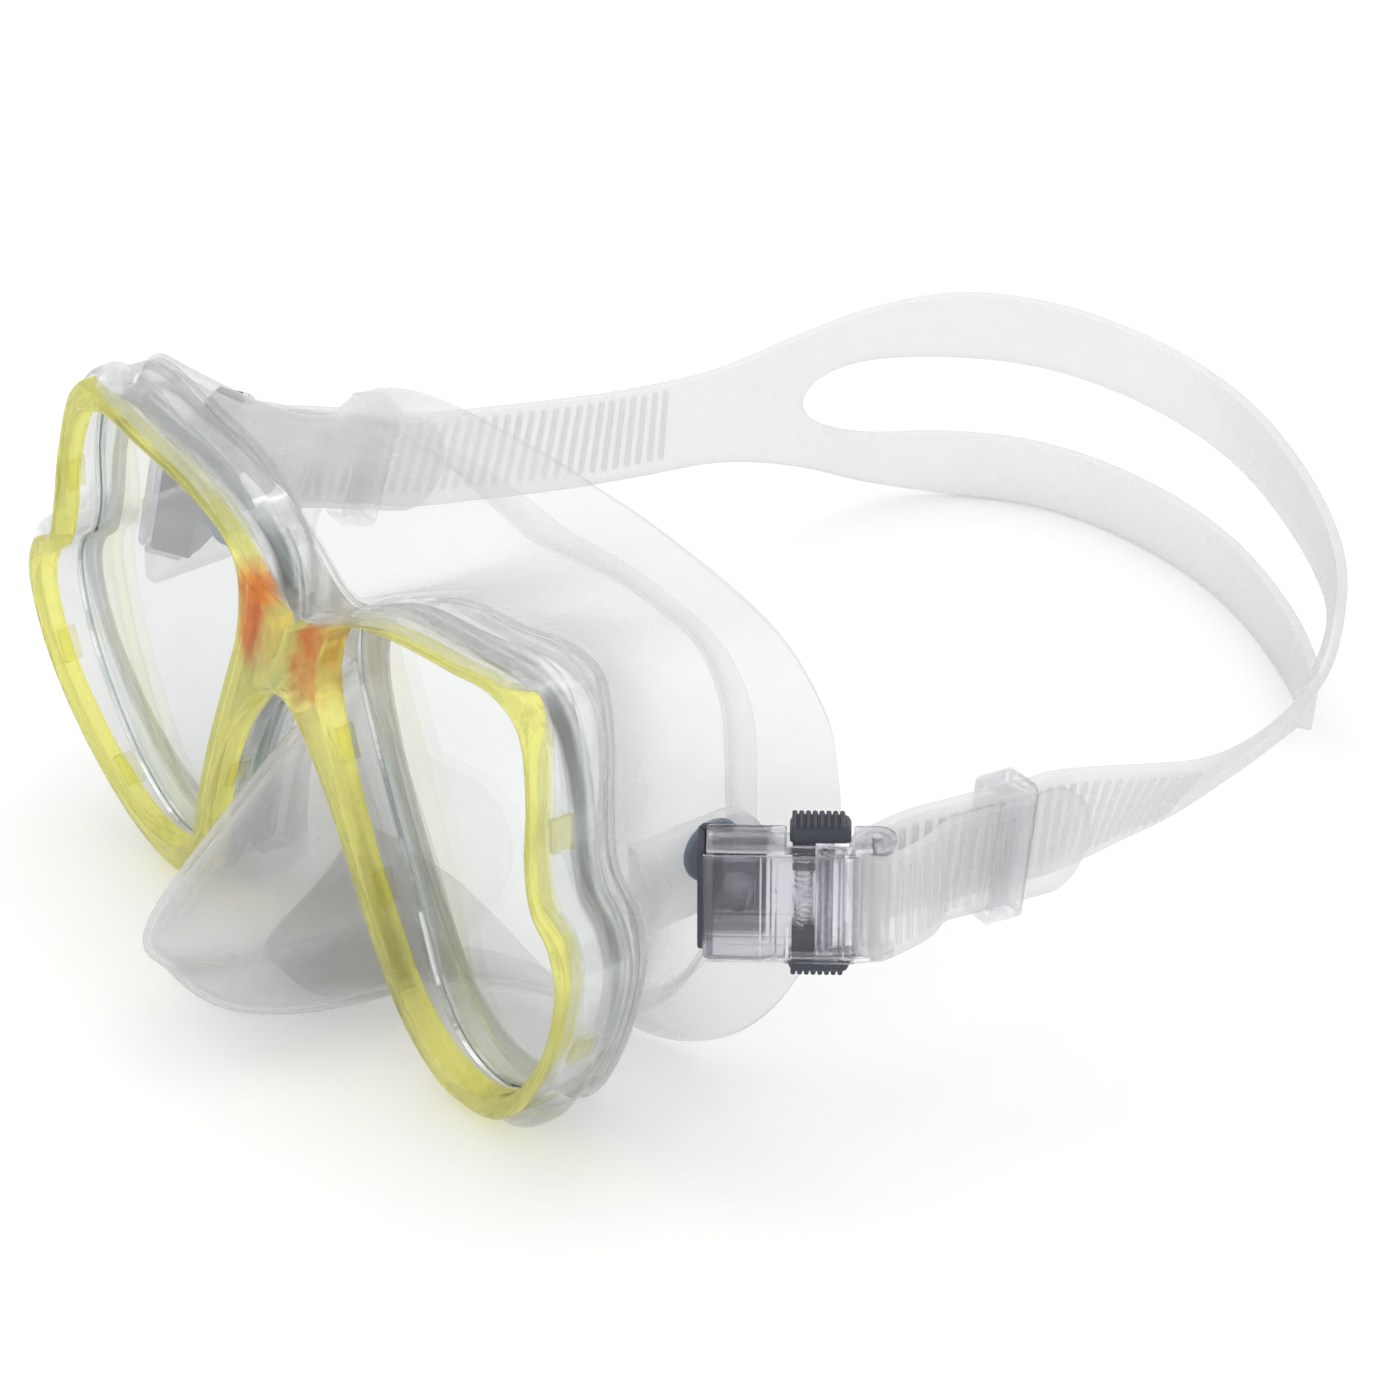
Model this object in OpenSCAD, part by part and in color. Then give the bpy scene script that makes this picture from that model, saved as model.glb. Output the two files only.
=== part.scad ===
// Two-window snorkel mask with a clear silicone skirt, a snap-on tinted bezel
// and a silicone strap held by two squeeze-to-release buckles.
// Frame: +X is the wearer's left, +Y points to the wearer's face, +Z is up.
// The origin is the centre of the face opening, level with the buckles.

/* [Lens frame] */
// Height of the standing surface below the eye line
stand_drop = 46; // [45.8:0.1:47]
// Front plane of the tinted bezel, measured from the face opening
bezel_front = -52.4; // [-53:0.1:-52]
// Thickness of the tinted bezel
bezel_thick = 4.5; // [4:0.1:4.8]
// Depth of the clear carrier frame behind the bezel
carrier_depth = 10; // [9.6:0.1:10.4]
// Thickness of the tempered glass
glass_thick = 3.2; // [3:0.1:3.4]

/* [Skirt] */
// Wall of the silicone skirt at the frame
skirt_wall = 1.8; // [1.4:0.1:2]
// Wall of the silicone skirt at its sealing edge
seal_wall = 0.9; // [0.7:0.1:1.2]
// How much narrower the skirt is at its waist, as a share of its width
waist_in = 0.18; // [0.16:0.01:0.2]

/* [Strap] */
// Thickness of the strap
strap_thick = 2; // [1.8:0.1:2]
// Half the height of the strap at its ribbed ends
strap_half = 9; // [8:0.1:9]
// Half the height of the strap where it is split at the back of the head
split_half = 22; // [18:0.5:22.5]
// Half the height of the slot between the two bands
slot_half = 8.5; // [6:0.5:9]

/* [Buckle] */
// Angle between a buckle and the straight-back direction
buckle_turn = 38.5; // [38:0.1:39]
// Travel of a release button
button_travel = 1.6; // [1.2:0.1:1.6]
// Radius of the strap roller
roller_r = 2.2; // [2:0.05:2.2]

/* [Hidden] */

$fn = 48;
tint = [0.93, 0.86, 0.12];
clear = [0.9, 0.93, 0.93];
silicone = [0.92, 0.93, 0.94];
glass_tone = [0.8, 0.9, 0.88];
slate = [0.2, 0.22, 0.27];
steel = [0.75, 0.76, 0.78];

bezel_back = bezel_front + bezel_thick;
carrier_back = bezel_back + carrier_depth;
bend_r = 225;
glass_front = bezel_back + 4.6;
glass_back = glass_front + glass_thick;
plate_thick = 2;
spline_steps = 3;
eps = 0.01;

// ---------- curves ----------
function lerp(a, b, t) = a + (b - a) * t;
function blend4(a, b, c, d, t) =
  0.5 * (2 * b + (c - a) * t + (2 * a - 5 * b + 4 * c - d) * t * t + (3 * b - a - 3 * c + d) * t * t * t);
// A smooth closed curve through the points p, with n steps between neighbours
function closed_curve(p, n) = let (m = len(p))
  [for (i = [0:m - 1], k = [0:n - 1])
    blend4(p[(i + m - 1) % m], p[i], p[(i + 1) % m], p[(i + 2) % m], k / n)];
// A smooth open curve through the points p, with n steps between neighbours
function open_curve(p, n) = let (m = len(p) - 1) concat(
  [for (i = [0:m - 1], k = [0:n - 1])
    blend4(p[max(i - 1, 0)], p[i], p[i + 1], p[min(i + 2, m)], k / n)], [p[m]]);
// The point at share v (0 to 1) along the open curve through p
function curve_at(p, v) = let (m = len(p) - 1, i = min(floor(v * m), m - 1), t = v * m - i)
  blend4(p[max(i - 1, 0)], p[i], p[i + 1], p[min(i + 2, m)], t);
function unit(v) = v / norm(v);
// A closed outline moved outwards by d; the outline runs clockwise
function grown(p, d) = let (m = len(p))
  [for (i = [0:m - 1]) let (t = unit(p[(i + 1) % m] - p[(i + m - 1) % m])) p[i] + d * [-t[1], t[0]]];

// ---------- front outlines, as (x, z) on the wearer's left ----------
opening_points = [
  [13.5, 30], [20, 34.5], [31, 37], [45, 38.5], [56, 39.5], [64, 36.5], [67.5, 27], [68.3, 16],
  [70.5, 8.5], [75, 4], [76.5, -3], [73.5, -14], [67.5, -24], [60, -32.5], [50, -38.3], [40, -37.5],
  [32.5, -30.5], [27.5, -19], [22, -6], [15.5, 10], [12, 21]];
half_outline_points = [
  [0, 26.5], [11, 31.5], [28, 39.5], [44, 42], [57, 44.3], [65.5, 42.5], [70, 34], [71.7, 24],
  [73.5, 14], [79.5, 8], [81.5, 0], [79, -11], [73, -24], [65, -35.5], [56.5, -42.6], [48, -45.2],
  [38, -44], [30.5, -37], [25, -24.5], [19.5, -10.5], [11.5, 3.5], [0, 14]];

function mirrored(p) = [for (q = p) [-q[0], q[1]]];
outline_points = concat(half_outline_points,
  [for (i = [len(half_outline_points) - 2:-1:1]) [-half_outline_points[i][0], half_outline_points[i][1]]]);
opening_left = closed_curve(opening_points, 4);
outline = closed_curve(outline_points, spline_steps);

// A flat plate standing across Y, from y_front to y_back
module slab(y_front, y_back)
  translate([0, y_back, 0]) rotate([90, 0, 0]) linear_extrude(y_back - y_front) children();
// The space behind a surface that bends back towards the top and the bottom
module behind(y_middle) translate([0, y_middle + bend_r, 0]) rotate([0, 90, 0])
  cylinder(r = bend_r, h = 220, center = true, $fn = 180);
// A plate bent that way, from y_front to y_back at its middle
module bent_slab(y_front, y_back) difference() {
  intersection() { slab(y_front - 1, y_back + 6) children(); behind(y_front); }
  behind(y_back);
}
module opening(side, d) scale([side, 1]) polygon(grown(opening_left, d));
module both_openings(d) for (side = [-1, 1]) opening(side, d);

// ---------- snap hooks between bezel and carrier ----------
hook_places = [26, 44, 52, 70, 76];
hook_offset = 2.85;
hook_length = 6;
hook_thick = 0.8;
hook_reach = 2.5;
hook_root = 1.5;
function bend(z) = bend_r - sqrt(bend_r * bend_r - z * z);
module hook_boxes(slack) for (side = [-1, 1], k = hook_places)
  let (m = len(opening_left), p = opening_left[k], t = unit(opening_left[k + 1] - opening_left[k - 1]),
       q = p + hook_offset * [-t[1], t[0]])
    translate([side * q[0], bezel_back + bend(q[1]), q[1]]) rotate([0, -side * atan2(t[1], t[0]), 0])
      translate([-hook_length / 2 - slack, -hook_root - slack, -hook_thick / 2 - slack])
        cube([hook_length + 2 * slack, hook_root + hook_reach + 2 * slack, hook_thick + 2 * slack]);

module bezel() color(tint) union() {
  difference() {
    bent_slab(bezel_front, bezel_back) polygon(outline);
    slab(bezel_front - 1, bezel_back + 8) both_openings(0);
  }
  hook_boxes(0);
}

seat_reach = 1.9;
neck_reach = 0.8;
flange_thick = 3.2;
seat_back = glass_front + glass_thick + 0.9;
module carrier_frame() color(clear) difference() {
  union() {
    bent_slab(bezel_back + 0.02, bezel_back + flange_thick) polygon(grown(outline, 0.5));
    bent_slab(bezel_back + 1, carrier_back) polygon(grown(outline, -0.9));
  }
  slab(bezel_back - 1, seat_back) both_openings(seat_reach);
  slab(bezel_back, carrier_back + 8) both_openings(neck_reach);
  hook_boxes(0.1);
}

glass_reach = 1.1;
module lens(side) color(glass_tone) slab(glass_front, glass_back) opening(side, glass_reach);

// ---------- silicone skirt ----------
// The sealing edge, point by point against half_outline_points
seal_points = [
  [0, 13, 30], [13, 13, 30], [28, 12.5, 29.5], [41, 12, 28.5], [52, 11, 27], [61, 9.5, 24],
  [68.5, 8, 19], [73, 6, 13], [75.5, 4.5, 7], [77, 3, 1], [77.5, 2, -5], [76.5, 0, -13],
  [73.5, -2, -22], [68.5, -4, -31], [61, -6, -39], [51, -9, -44.5], [41, -12, -45.6],
  [31, -14, -43.5], [22, -15.5, -40], [14, -16, -37.5], [7, -16, -36.5], [0, -16, -36]];
// How strongly each point follows the nose pocket
nose_share = [for (i = [0:len(half_outline_points) - 1])
  i < 16 ? 0 : [0, 0.13, 0.4, 0.72, 0.93, 1][i - 16]];
// The middle line of the nose pocket, as (y, z), from the bridge round the tip to the upper lip
nose_line = [[-34.5, 13], [-38, 9.5], [-47, 4], [-62, -8], [-75, -20], [-77.5, -28], [-70, -35],
  [-54, -39.5], [-38, -42], [-25, -41], [-16, -36]];

skirt_front = carrier_back + 0.5;
skirt_rings = 13;
function full_loop(p) = concat(p, [for (i = [len(p) - 2:-1:1]) [-p[i][0], p[i][1], p[i][2]]]);
// One control point of the skirt, i along the outline and v (0 to 1) from frame to sealing edge
function skirt_control(i, v) = let (
    f = half_outline_points[i], s = seal_points[i], w = nose_share[i],
    base = [lerp(f[0] * 0.985, s[0], v), lerp(skirt_front + bend(f[1]), s[1], v), lerp(f[1], s[2], v)],
    last = len(half_outline_points) - 1,
    mid = [lerp(skirt_front, seal_points[last][1], v),
      lerp(half_outline_points[last][1] - 1, seal_points[last][2], v)],
    bulge = curve_at(nose_line, v) - mid,
    squeeze = sin(180 * v),
    pinch = 1 - 0.3 * w * (1 - w) * 4 * sqrt(squeeze) * 0.45)
  [base[0] * (1 - waist_in * squeeze * (1 - w)) * pinch,
   base[1] + w * bulge[0],
   base[2] * (1 - 0.12 * squeeze * (1 - w)) + w * bulge[1]];
function skirt_ring(v) = closed_curve(
  full_loop([for (i = [0:len(half_outline_points) - 1]) skirt_control(i, v)]), spline_steps);
skirt_sheet = [for (j = [0:skirt_rings]) skirt_ring(j / skirt_rings)];

// The inside of a sheet of rings: each point moved along the sheet's own normal
function sheet_inside(g, wall_a, wall_b) = let (rings = len(g) - 1, m = len(g[0]))
  [for (j = [0:rings]) [for (i = [0:m - 1]) let (
      along = g[j][(i + 1) % m] - g[j][(i + m - 1) % m],
      across = g[min(j + 1, rings)][i] - g[max(j - 1, 0)][i])
    g[j][i] + lerp(wall_a, wall_b, j / rings) * unit(cross(across, along))]];
// A closed solid between two sheets of rings
module sheet_solid(outer, inner) {
  rings = len(outer) - 1;
  m = len(outer[0]);
  n = (rings + 1) * m;
  points = concat([for (r = outer) each r], [for (r = inner) each r]);
  walls = [for (j = [0:rings - 1], i = [0:m - 1]) let (
      a = j * m + i, b = j * m + (i + 1) % m, c = a + m, d = b + m)
    each [[a, c, b], [b, c, d], [n + a, n + b, n + c], [n + b, n + d, n + c]]];
  ends = [for (i = [0:m - 1]) let (k = (i + 1) % m, e = rings * m)
    each [[i, k, n + i], [k, n + k, n + i], [e + i, n + e + i, e + k], [e + k, n + e + i, n + e + k]]];
  polyhedron(points = points, faces = concat(walls, ends), convexity = 6);
}

lip_reach = 0.3;
module lens_seats() difference() {
  union() {
    bent_slab(bezel_back + 0.02, carrier_back + 0.4) intersection() {
      both_openings(neck_reach - 0.05);
      square([200, 120], center = true);
    }
    slab(bezel_back + 0.02, seat_back - 0.02) intersection() {
      both_openings(seat_reach - 0.05);
      square([200, 120], center = true);
    }
    bent_slab(carrier_back + 0.05, skirt_front + 0.6) polygon(grown(outline, -1.1));
  }
  behind_cut();
  slab(bezel_back - 1, glass_front) both_openings(lip_reach);
  slab(glass_front - eps, glass_back + 0.02) both_openings(glass_reach + 0.03);
  slab(glass_back, skirt_front + 8) both_openings(-0.6);
}
// Keeps the lens seats behind the bezel
module behind_cut() difference() {
  slab(bezel_front - 8, bezel_back + 5) square([200, 120], center = true);
  behind(bezel_back + 0.02);
}
module skirt() color(silicone) difference() {
  union() {
    lens_seats();
    sheet_solid(skirt_sheet, sheet_inside(skirt_sheet, skirt_wall, seal_wall));
    for (side = [-1, 1]) mirror([side < 0 ? 1 : 0, 0, 0]) translate(post_place) {
      rotate([0, 90, 0]) cylinder(r = tab_half, h = tab_thick, center = true);
      translate([-tab_thick / 2, -tab_run, -tab_half]) cube([tab_thick, tab_run, 2 * tab_half]);
    }
  }
  for (side = [-1, 1]) translate([side * post_place[0], post_place[1], post_place[2]])
    rotate([0, 90, 0]) cylinder(r = post_r + 0.05, h = 5, center = true);
}

// ---------- buckles ----------
// Place of a swivel post on the wearer's left; its axis is along X
post_place = [69.4, -14.5, 4];
post_r = 2.5;
tab_half = 8;
tab_thick = 3;
tab_run = 17;
// How far out from the tab a buckle's own axes start
buckle_out = 4.6;
// How far each buckle is swung down on its post
droop_left = 0;
droop_right = 13;
function droop(side) = side > 0 ? droop_left : droop_right;
// The wearer's right is a mirror image, apart from how far it is swung down
module at_post(side)
  mirror([side < 0 ? 1 : 0, 0, 0]) translate(post_place) rotate([-droop(side), 0, 0]) children();
// Local axes of a buckle: +Y runs to the strap, +X points away from the head
module place_buckle(side)
  at_post(side) translate([buckle_out, 0, 0]) rotate([0, 0, -buckle_turn]) children();

base_half = 9.3;
module swivel_base(side) color(slate) {
  at_post(side) {
    difference() {
      rotate([0, 90, 0]) translate([0, 0, -2.9]) cylinder(r = 5.5, h = 1.3);
      rotate([0, 90, 0]) translate([0, 0, -3]) cylinder(r = 1.6, h = 1.1);
    }
    rotate([0, 90, 0]) translate([0, 0, -1.7]) cylinder(r = post_r, h = 4);
    intersection() {
      rotate([0, 90, 0]) translate([0, 0, 1.7]) cylinder(r = 4.5, h = 12);
      translate([buckle_out, 0, 0]) rotate([0, 0, -buckle_turn])
        translate([-20, -10, -10]) cube([22.5, 20, 20]);
    }
  }
  place_buckle(side) {
    translate([1.6, -5.5, -base_half]) cube([1.8, 12.5, 2 * base_half]);
    translate([1.6, -6.3, -base_half]) cube([7.4, 1.2, 2 * base_half]);
    for (z = [-5.3, 5.3]) translate([3.3, -1.5, z]) rotate([0, 90, 0]) cylinder(r = 1.2, h = 1.1);
  }
}

roller_place = [6.6, 21.5];
pawl_place = [8.1, 13.4];
spring_run = 10.3;
wall_in = 9.45;
wall_out = 10.8;
window = [7.9, 17.5];
// Two lugs on the floor that hold the ends of the pawl's pin
module pawl_lugs() for (s = [0, 1]) mirror([0, 0, s]) difference() {
  union() {
    translate([3.5, pawl_place[1] - 2.4, 7.6]) cube([1.2, 3.9, 1.75]);
    translate([4.6, pawl_place[1] - 1.25, 8.4]) cube([4.8, 2.75, 0.95]);
  }
  translate([pawl_place[0], pawl_place[1], 8]) cylinder(r = 0.62, h = 2);
}
module housing(side) color(clear) place_buckle(side) union() {
  pawl_lugs();
  difference() {
  union() {
    translate([3.5, -4.95, -wall_out]) cube([1.2, 17.4, 2 * wall_out]);
    for (s = [-1, 1]) {
      translate([3.5, -4.95, s > 0 ? wall_in : -wall_out]) cube([7, 26.4, wall_out - wall_in]);
      translate([roller_place[0], roller_place[1], s > 0 ? wall_in : -wall_out])
        cylinder(r = 3.1, h = wall_out - wall_in);
    }
    translate([4.6, -4.95, -wall_in - eps]) cube([5.9, 1.2, 2 * wall_in + 2 * eps]);
    translate([4.6, spring_run - 1.9, -0.5]) cube([3.6, 3.4, 1]);
    rotate([0, 90, 0]) translate([0, 0, 4.6]) cylinder(r = post_r, h = 5.8);
  }
  for (s = [-1, 1]) translate([3, window[0] - 0.3, s > 0 ? wall_in - 1 : -wall_out - 1])
    cube([6.6, window[1] - window[0] + 0.6, 4]);
  translate([roller_place[0], roller_place[1], 0]) cylinder(r = 0.82, h = 30, center = true);
  translate([pawl_place[0], pawl_place[1], 0]) cylinder(r = 0.62, h = 30, center = true);
  for (z = [-5.3, 5.3]) translate([3, -1.5, z]) rotate([0, 90, 0]) cylinder(r = 1.25, h = 2);
  }
}
// The cover plate stops short of the strap where it turns round the roller
module cover(side) color(clear) place_buckle(side)
  translate([10.55, -5.4, -wall_in]) cube([1.3, 24.2, 2 * wall_in]);

cap_low = 11;
cap_high = 13.7;
module button(side, s) color(slate) place_buckle(side) mirror([0, 0, s < 0 ? 1 : 0]) {
  translate([3.9, window[0], cap_low]) cube([5.4, window[1] - window[0], cap_high - cap_low]);
  for (k = [0:4]) translate([3.9, window[0] + 0.6 + 1.95 * k, cap_high - 0.1])
    cube([5.4, 1, 0.6]);
  translate([4.9, spring_run - 1.9, 5.2]) cube([3.2, 3.6, cap_low - 5.1]);
}

coil_r = 1.35;
wire_r = 0.22;
coil_turns = 4;
coil_steps = 12;
// A helix swept as rings of six points, from z_low to z_high
module coil(z_low, z_high) {
  count = coil_turns * coil_steps;
  rings = [for (k = [0:count]) let (a = 360 * k / coil_steps,
      c = [coil_r * cos(a), coil_r * sin(a), lerp(z_low + wire_r, z_high - wire_r, k / count)])
    [for (q = [0:5]) let (b = 60 * q) c + wire_r * [cos(b) * cos(a), cos(b) * sin(a), sin(b)]]];
  skin = [for (k = [0:count - 1], q = [0:5]) let (a = 6 * k + q, b = 6 * k + (q + 1) % 6)
    each [[a, b, a + 6], [b, b + 6, a + 6]]];
  polyhedron(points = [for (r = rings) each r],
    faces = concat(skin, [[5, 4, 3, 2, 1, 0]], [[for (q = [0:5]) 6 * count + q]]), convexity = 8);
}
module spring(side, s) color(steel) place_buckle(side) mirror([0, 0, s < 0 ? 1 : 0])
  translate([6.5, spring_run, 0]) coil(0.55, 5.15);

pawl_half = 8.3;
pin_half = 9.3;
module pawl(side) color(slate) place_buckle(side) difference() {
  union() {
    translate([pawl_place[0], pawl_place[1], 0]) cylinder(r = 1.4, h = 2 * pawl_half, center = true);
    translate([pawl_place[0] - 0.9, pawl_place[1], -pawl_half]) cube([1.8, 3.1, 2 * pawl_half]);
    translate([pawl_place[0] - 1.9, pawl_place[1] + 2.1, -pawl_half]) cube([1.2, 1, 2 * pawl_half]);
  }
  translate([pawl_place[0], pawl_place[1], 0]) cylinder(r = 0.66, h = 30, center = true);
}
module pawl_pin(side) color(steel) place_buckle(side)
  translate([pawl_place[0], pawl_place[1], 0]) cylinder(r = 0.6, h = 2 * pin_half, center = true);
module roller(side) color(clear) place_buckle(side)
  translate([roller_place[0], roller_place[1], 0]) difference() {
    cylinder(r = roller_r, h = 2 * wall_in - 0.3, center = true);
    cylinder(r = 0.86, h = 30, center = true);
  }
module roller_pin(side) color(steel) place_buckle(side)
  translate([roller_place[0], roller_place[1], 0]) cylinder(r = 0.8, h = 2 * wall_out - 0.2, center = true);

// ---------- strap ----------
// Place of a roller's axis on the wearer's left, before the buckle is swung down
turn_y = [sin(buckle_turn), cos(buckle_turn)];
turn_x = [cos(buckle_turn), -sin(buckle_turn)];
roller_plan = [post_place[0] + buckle_out, post_place[1]]
  + roller_place[0] * turn_x + roller_place[1] * turn_y;
// The same swing for a point on the strap, with the wearer's right mirrored
function swung(side, p) = let (
    c = cos(droop(side)), s = sin(droop(side)), y = p[1] - post_place[1], z = p[2])
  [side * p[0], post_place[1] + c * y + s * z, post_place[2] - s * y + c * z];
wrap_r = roller_r + 0.3 + strap_thick / 2;
layer_gap = strap_thick + 0.3;

// Direction of the straight ribbed run behind each roller, in degrees from straight back away from the head
run_angle_left = 2;
run_angle_right = -9;
// How steeply that run falls away from its buckle, in degrees
fall_left = 7;
fall_right = 4;
fall_start = 9;
keeper_run = 26;
tail_run = 43;
// Route of the strap between the two straight runs, from the left side round the back: the middle
// line x, y, z, half the height, the lean of the upper edge away from the head, the pitch of the run
back_z = split_half - stand_drop;
loop_points = [
  [89.3, 54, -2.5, strap_half, 22, 4], [88.4, 68, -5, strap_half, 34, 2],
  [83.5, 84, -7.5, strap_half, 36, 0],
  [74.5, 103, -11, strap_half + 0.5, 30, 0], [61.5, 121.5, -15.5, strap_half + 3, 16, 0],
  [45, 138.5, -22, split_half - 2.5, 4, 0], [25, 151, back_z, split_half, 0, 0],
  [3, 159.5, back_z, split_half, 0, 0], [-17, 163, back_z, split_half, 0, 0],
  [-37, 162, back_z, split_half, 0, 0], [-54, 156.5, back_z, split_half, 0, 0],
  [-67, 146, back_z, split_half - 0.3, 0, 0], [-75, 131, -23, 18.5, 0, 0],
  [-78, 115, -20.5, 13.5, 0, 0], [-78.5, 98, -18, strap_half + 0.7, 0, 3],
  [-78.5, 80, -15.5, strap_half, 0, 7], [-79, 62, -12.5, strap_half, 0, 12]];

function run_angle(side) = side > 0 ? run_angle_left : run_angle_right;
function run_dir(side) = [sin(run_angle(side)), cos(run_angle(side))];
function fall(side) = side > 0 ? fall_left : fall_right;
// One station of a strap end: t along the run, d away from the head, lift up, before the swing down
function end_station(side, t, d, lift) = let (
    dir = run_dir(side), out = [dir[1], -dir[0]], p = roller_plan + t * dir + d * out,
    pitch = t > fall_start ? fall(side) : 0)
  concat(swung(side, [p[0], p[1], lift - tan(fall(side)) * max(t - fall_start, 0)]),
    [strap_half, 0, pitch + droop(side)]);
// One strap end: tail outside, round the roller, then the main run towards the back of the head
function strap_end(side) = concat(
  [for (t = [tail_run, 38, 32, keeper_run + 2, 20, 15]) end_station(side, t, layer_gap - wrap_r, -1)],
  [end_station(side, 8, wrap_r - 1.3, -0.8)],
  [for (a = [0:30:180]) end_station(side, -wrap_r * sin(a), wrap_r * cos(a), -0.5 + a / 180)],
  [for (t = [8, 15, 20, keeper_run + 2, 32, 38]) end_station(side, t, -wrap_r, 1)]);
left_end = strap_end(1);
right_end = strap_end(-1);
function reversed(p) = [for (i = [len(p) - 1:-1:0]) p[i]];
strap_line = open_curve(concat(left_end, loop_points, reversed(right_end)), 2);

strap_count = len(strap_line) - 1;
function gap(a, b) = norm([a[0] - b[0], a[1] - b[1], a[2] - b[2]]);
function path_lengths(p, i = 1, sum = 0, out = [0]) =
  i >= len(p) ? out
  : path_lengths(p, i + 1, sum + gap(p[i], p[i - 1]), concat(out, [sum + gap(p[i], p[i - 1])]));
strap_runs = path_lengths(strap_line);
strap_length = strap_runs[strap_count];
// How far the slot's ends are from the strap's two ends, along the strap
slot_from_left = 182;
slot_from_right = 178;
function half_height(i) = let (r = min(strap_runs[i], strap_length - strap_runs[i]))
  strap_line[i][3] * (r < 6 ? sqrt(max(0.12, 1 - pow(1 - r / 6, 2))) : 1);
function half_slot(i) = let (
    t = min((strap_runs[i] - slot_from_left) / 34, (strap_length - strap_runs[i] - slot_from_right) / 20))
  t <= 0 ? 0 : slot_half * sqrt(1 - pow(1 - min(t, 1), 2));
function plan_out(p, i) = let (
    a = p[max(i - 1, 0)], b = p[min(i + 1, len(p) - 1)], t = unit([b[0] - a[0], b[1] - a[1]]))
  [-t[1], t[0], 0];
slot_stations = [for (i = [0:strap_count]) if (half_slot(i) > 0.4) i];
slot_first = slot_stations[0];
slot_last = slot_stations[len(slot_stations) - 1];
// One band of the strap between two heights at each station, as a closed sweep of rectangles
module band(first, last, low, high, thick) {
  n = last - first;
  corners = [for (i = [first:last]) let (
      s = strap_line[i], p = [s[0], s[1], s[2]], out = plan_out(strap_line, i),
      rise = [0, sin(s[5]), cos(s[5])],
      o = (cos(s[4]) * out + sin(s[4]) * rise) * thick / 2, w = cos(s[4]) * rise - sin(s[4]) * out)
    each [p - o + low[i] * w, p + o + low[i] * w, p + o + high[i] * w, p - o + high[i] * w]];
  skin = [for (k = [0:n - 1], q = [0:3]) let (a = 4 * k + q, b = 4 * k + (q + 1) % 4)
    each [[a, a + 4, b], [b, a + 4, b + 4]]];
  polyhedron(points = corners,
    faces = concat(skin, [[0, 1, 2, 3]], [[for (q = [3:-1:0]) 4 * n + q]]), convexity = 8);
}
module strap() color(silicone) difference() {
  band(0, strap_count, [for (i = [0:strap_count]) -half_height(i)],
    [for (i = [0:strap_count]) half_height(i)], strap_thick);
  band(slot_first, slot_last, [for (i = [0:strap_count]) -half_slot(i)],
    [for (i = [0:strap_count]) half_slot(i)], 3 * strap_thick);
}

keeper_length = 7;
keeper_wall = 1.6;
keeper_slack = 0.9;
module keeper(side) color(clear) let (
    dir = run_dir(side), out = [dir[1], -dir[0]],
    middle = roller_plan + keeper_run * dir + (layer_gap / 2 - wrap_r) * out,
    inside = [2 * strap_thick + 0.3 + keeper_slack, 2 * (strap_half + 1) + 1])
  at_post(side) translate([middle[0] - post_place[0], middle[1] - post_place[1],
      -tan(fall(side)) * (keeper_run - fall_start)])
    rotate([0, 0, -run_angle(side)]) rotate([-fall(side), 0, 0]) difference() {
      cube([inside[0] + 2 * keeper_wall, keeper_length, inside[1] + 2 * keeper_wall], center = true);
      cube([inside[0], keeper_length + 2, inside[1]], center = true);
    }

bezel();
carrier_frame();
lens(1);  // lens_left
lens(-1);  // lens_right
skirt();
strap();
swivel_base(1);  // swivel_base_left
swivel_base(-1);  // swivel_base_right
housing(1);  // housing_left
housing(-1);  // housing_right
cover(1);  // cover_left
cover(-1);  // cover_right
button(1, 1);  // button_upper_left
button(-1, 1);  // button_upper_right
button(1, -1);  // button_lower_left
button(-1, -1);  // button_lower_right
spring(1, 1);  // spring_upper_left
spring(-1, 1);  // spring_upper_right
spring(1, -1);  // spring_lower_left
spring(-1, -1);  // spring_lower_right
pawl(1);  // pawl_left
pawl(-1);  // pawl_right
pawl_pin(1);  // pawl_pin_left
pawl_pin(-1);  // pawl_pin_right
roller(1);  // roller_left
roller(-1);  // roller_right
roller_pin(1);  // roller_pin_left
roller_pin(-1);  // roller_pin_right
keeper(1);  // keeper_left
keeper(-1);  // keeper_right
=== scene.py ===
import math

import bmesh
import bpy
import numpy as np
from mathutils import Matrix, Vector


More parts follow.
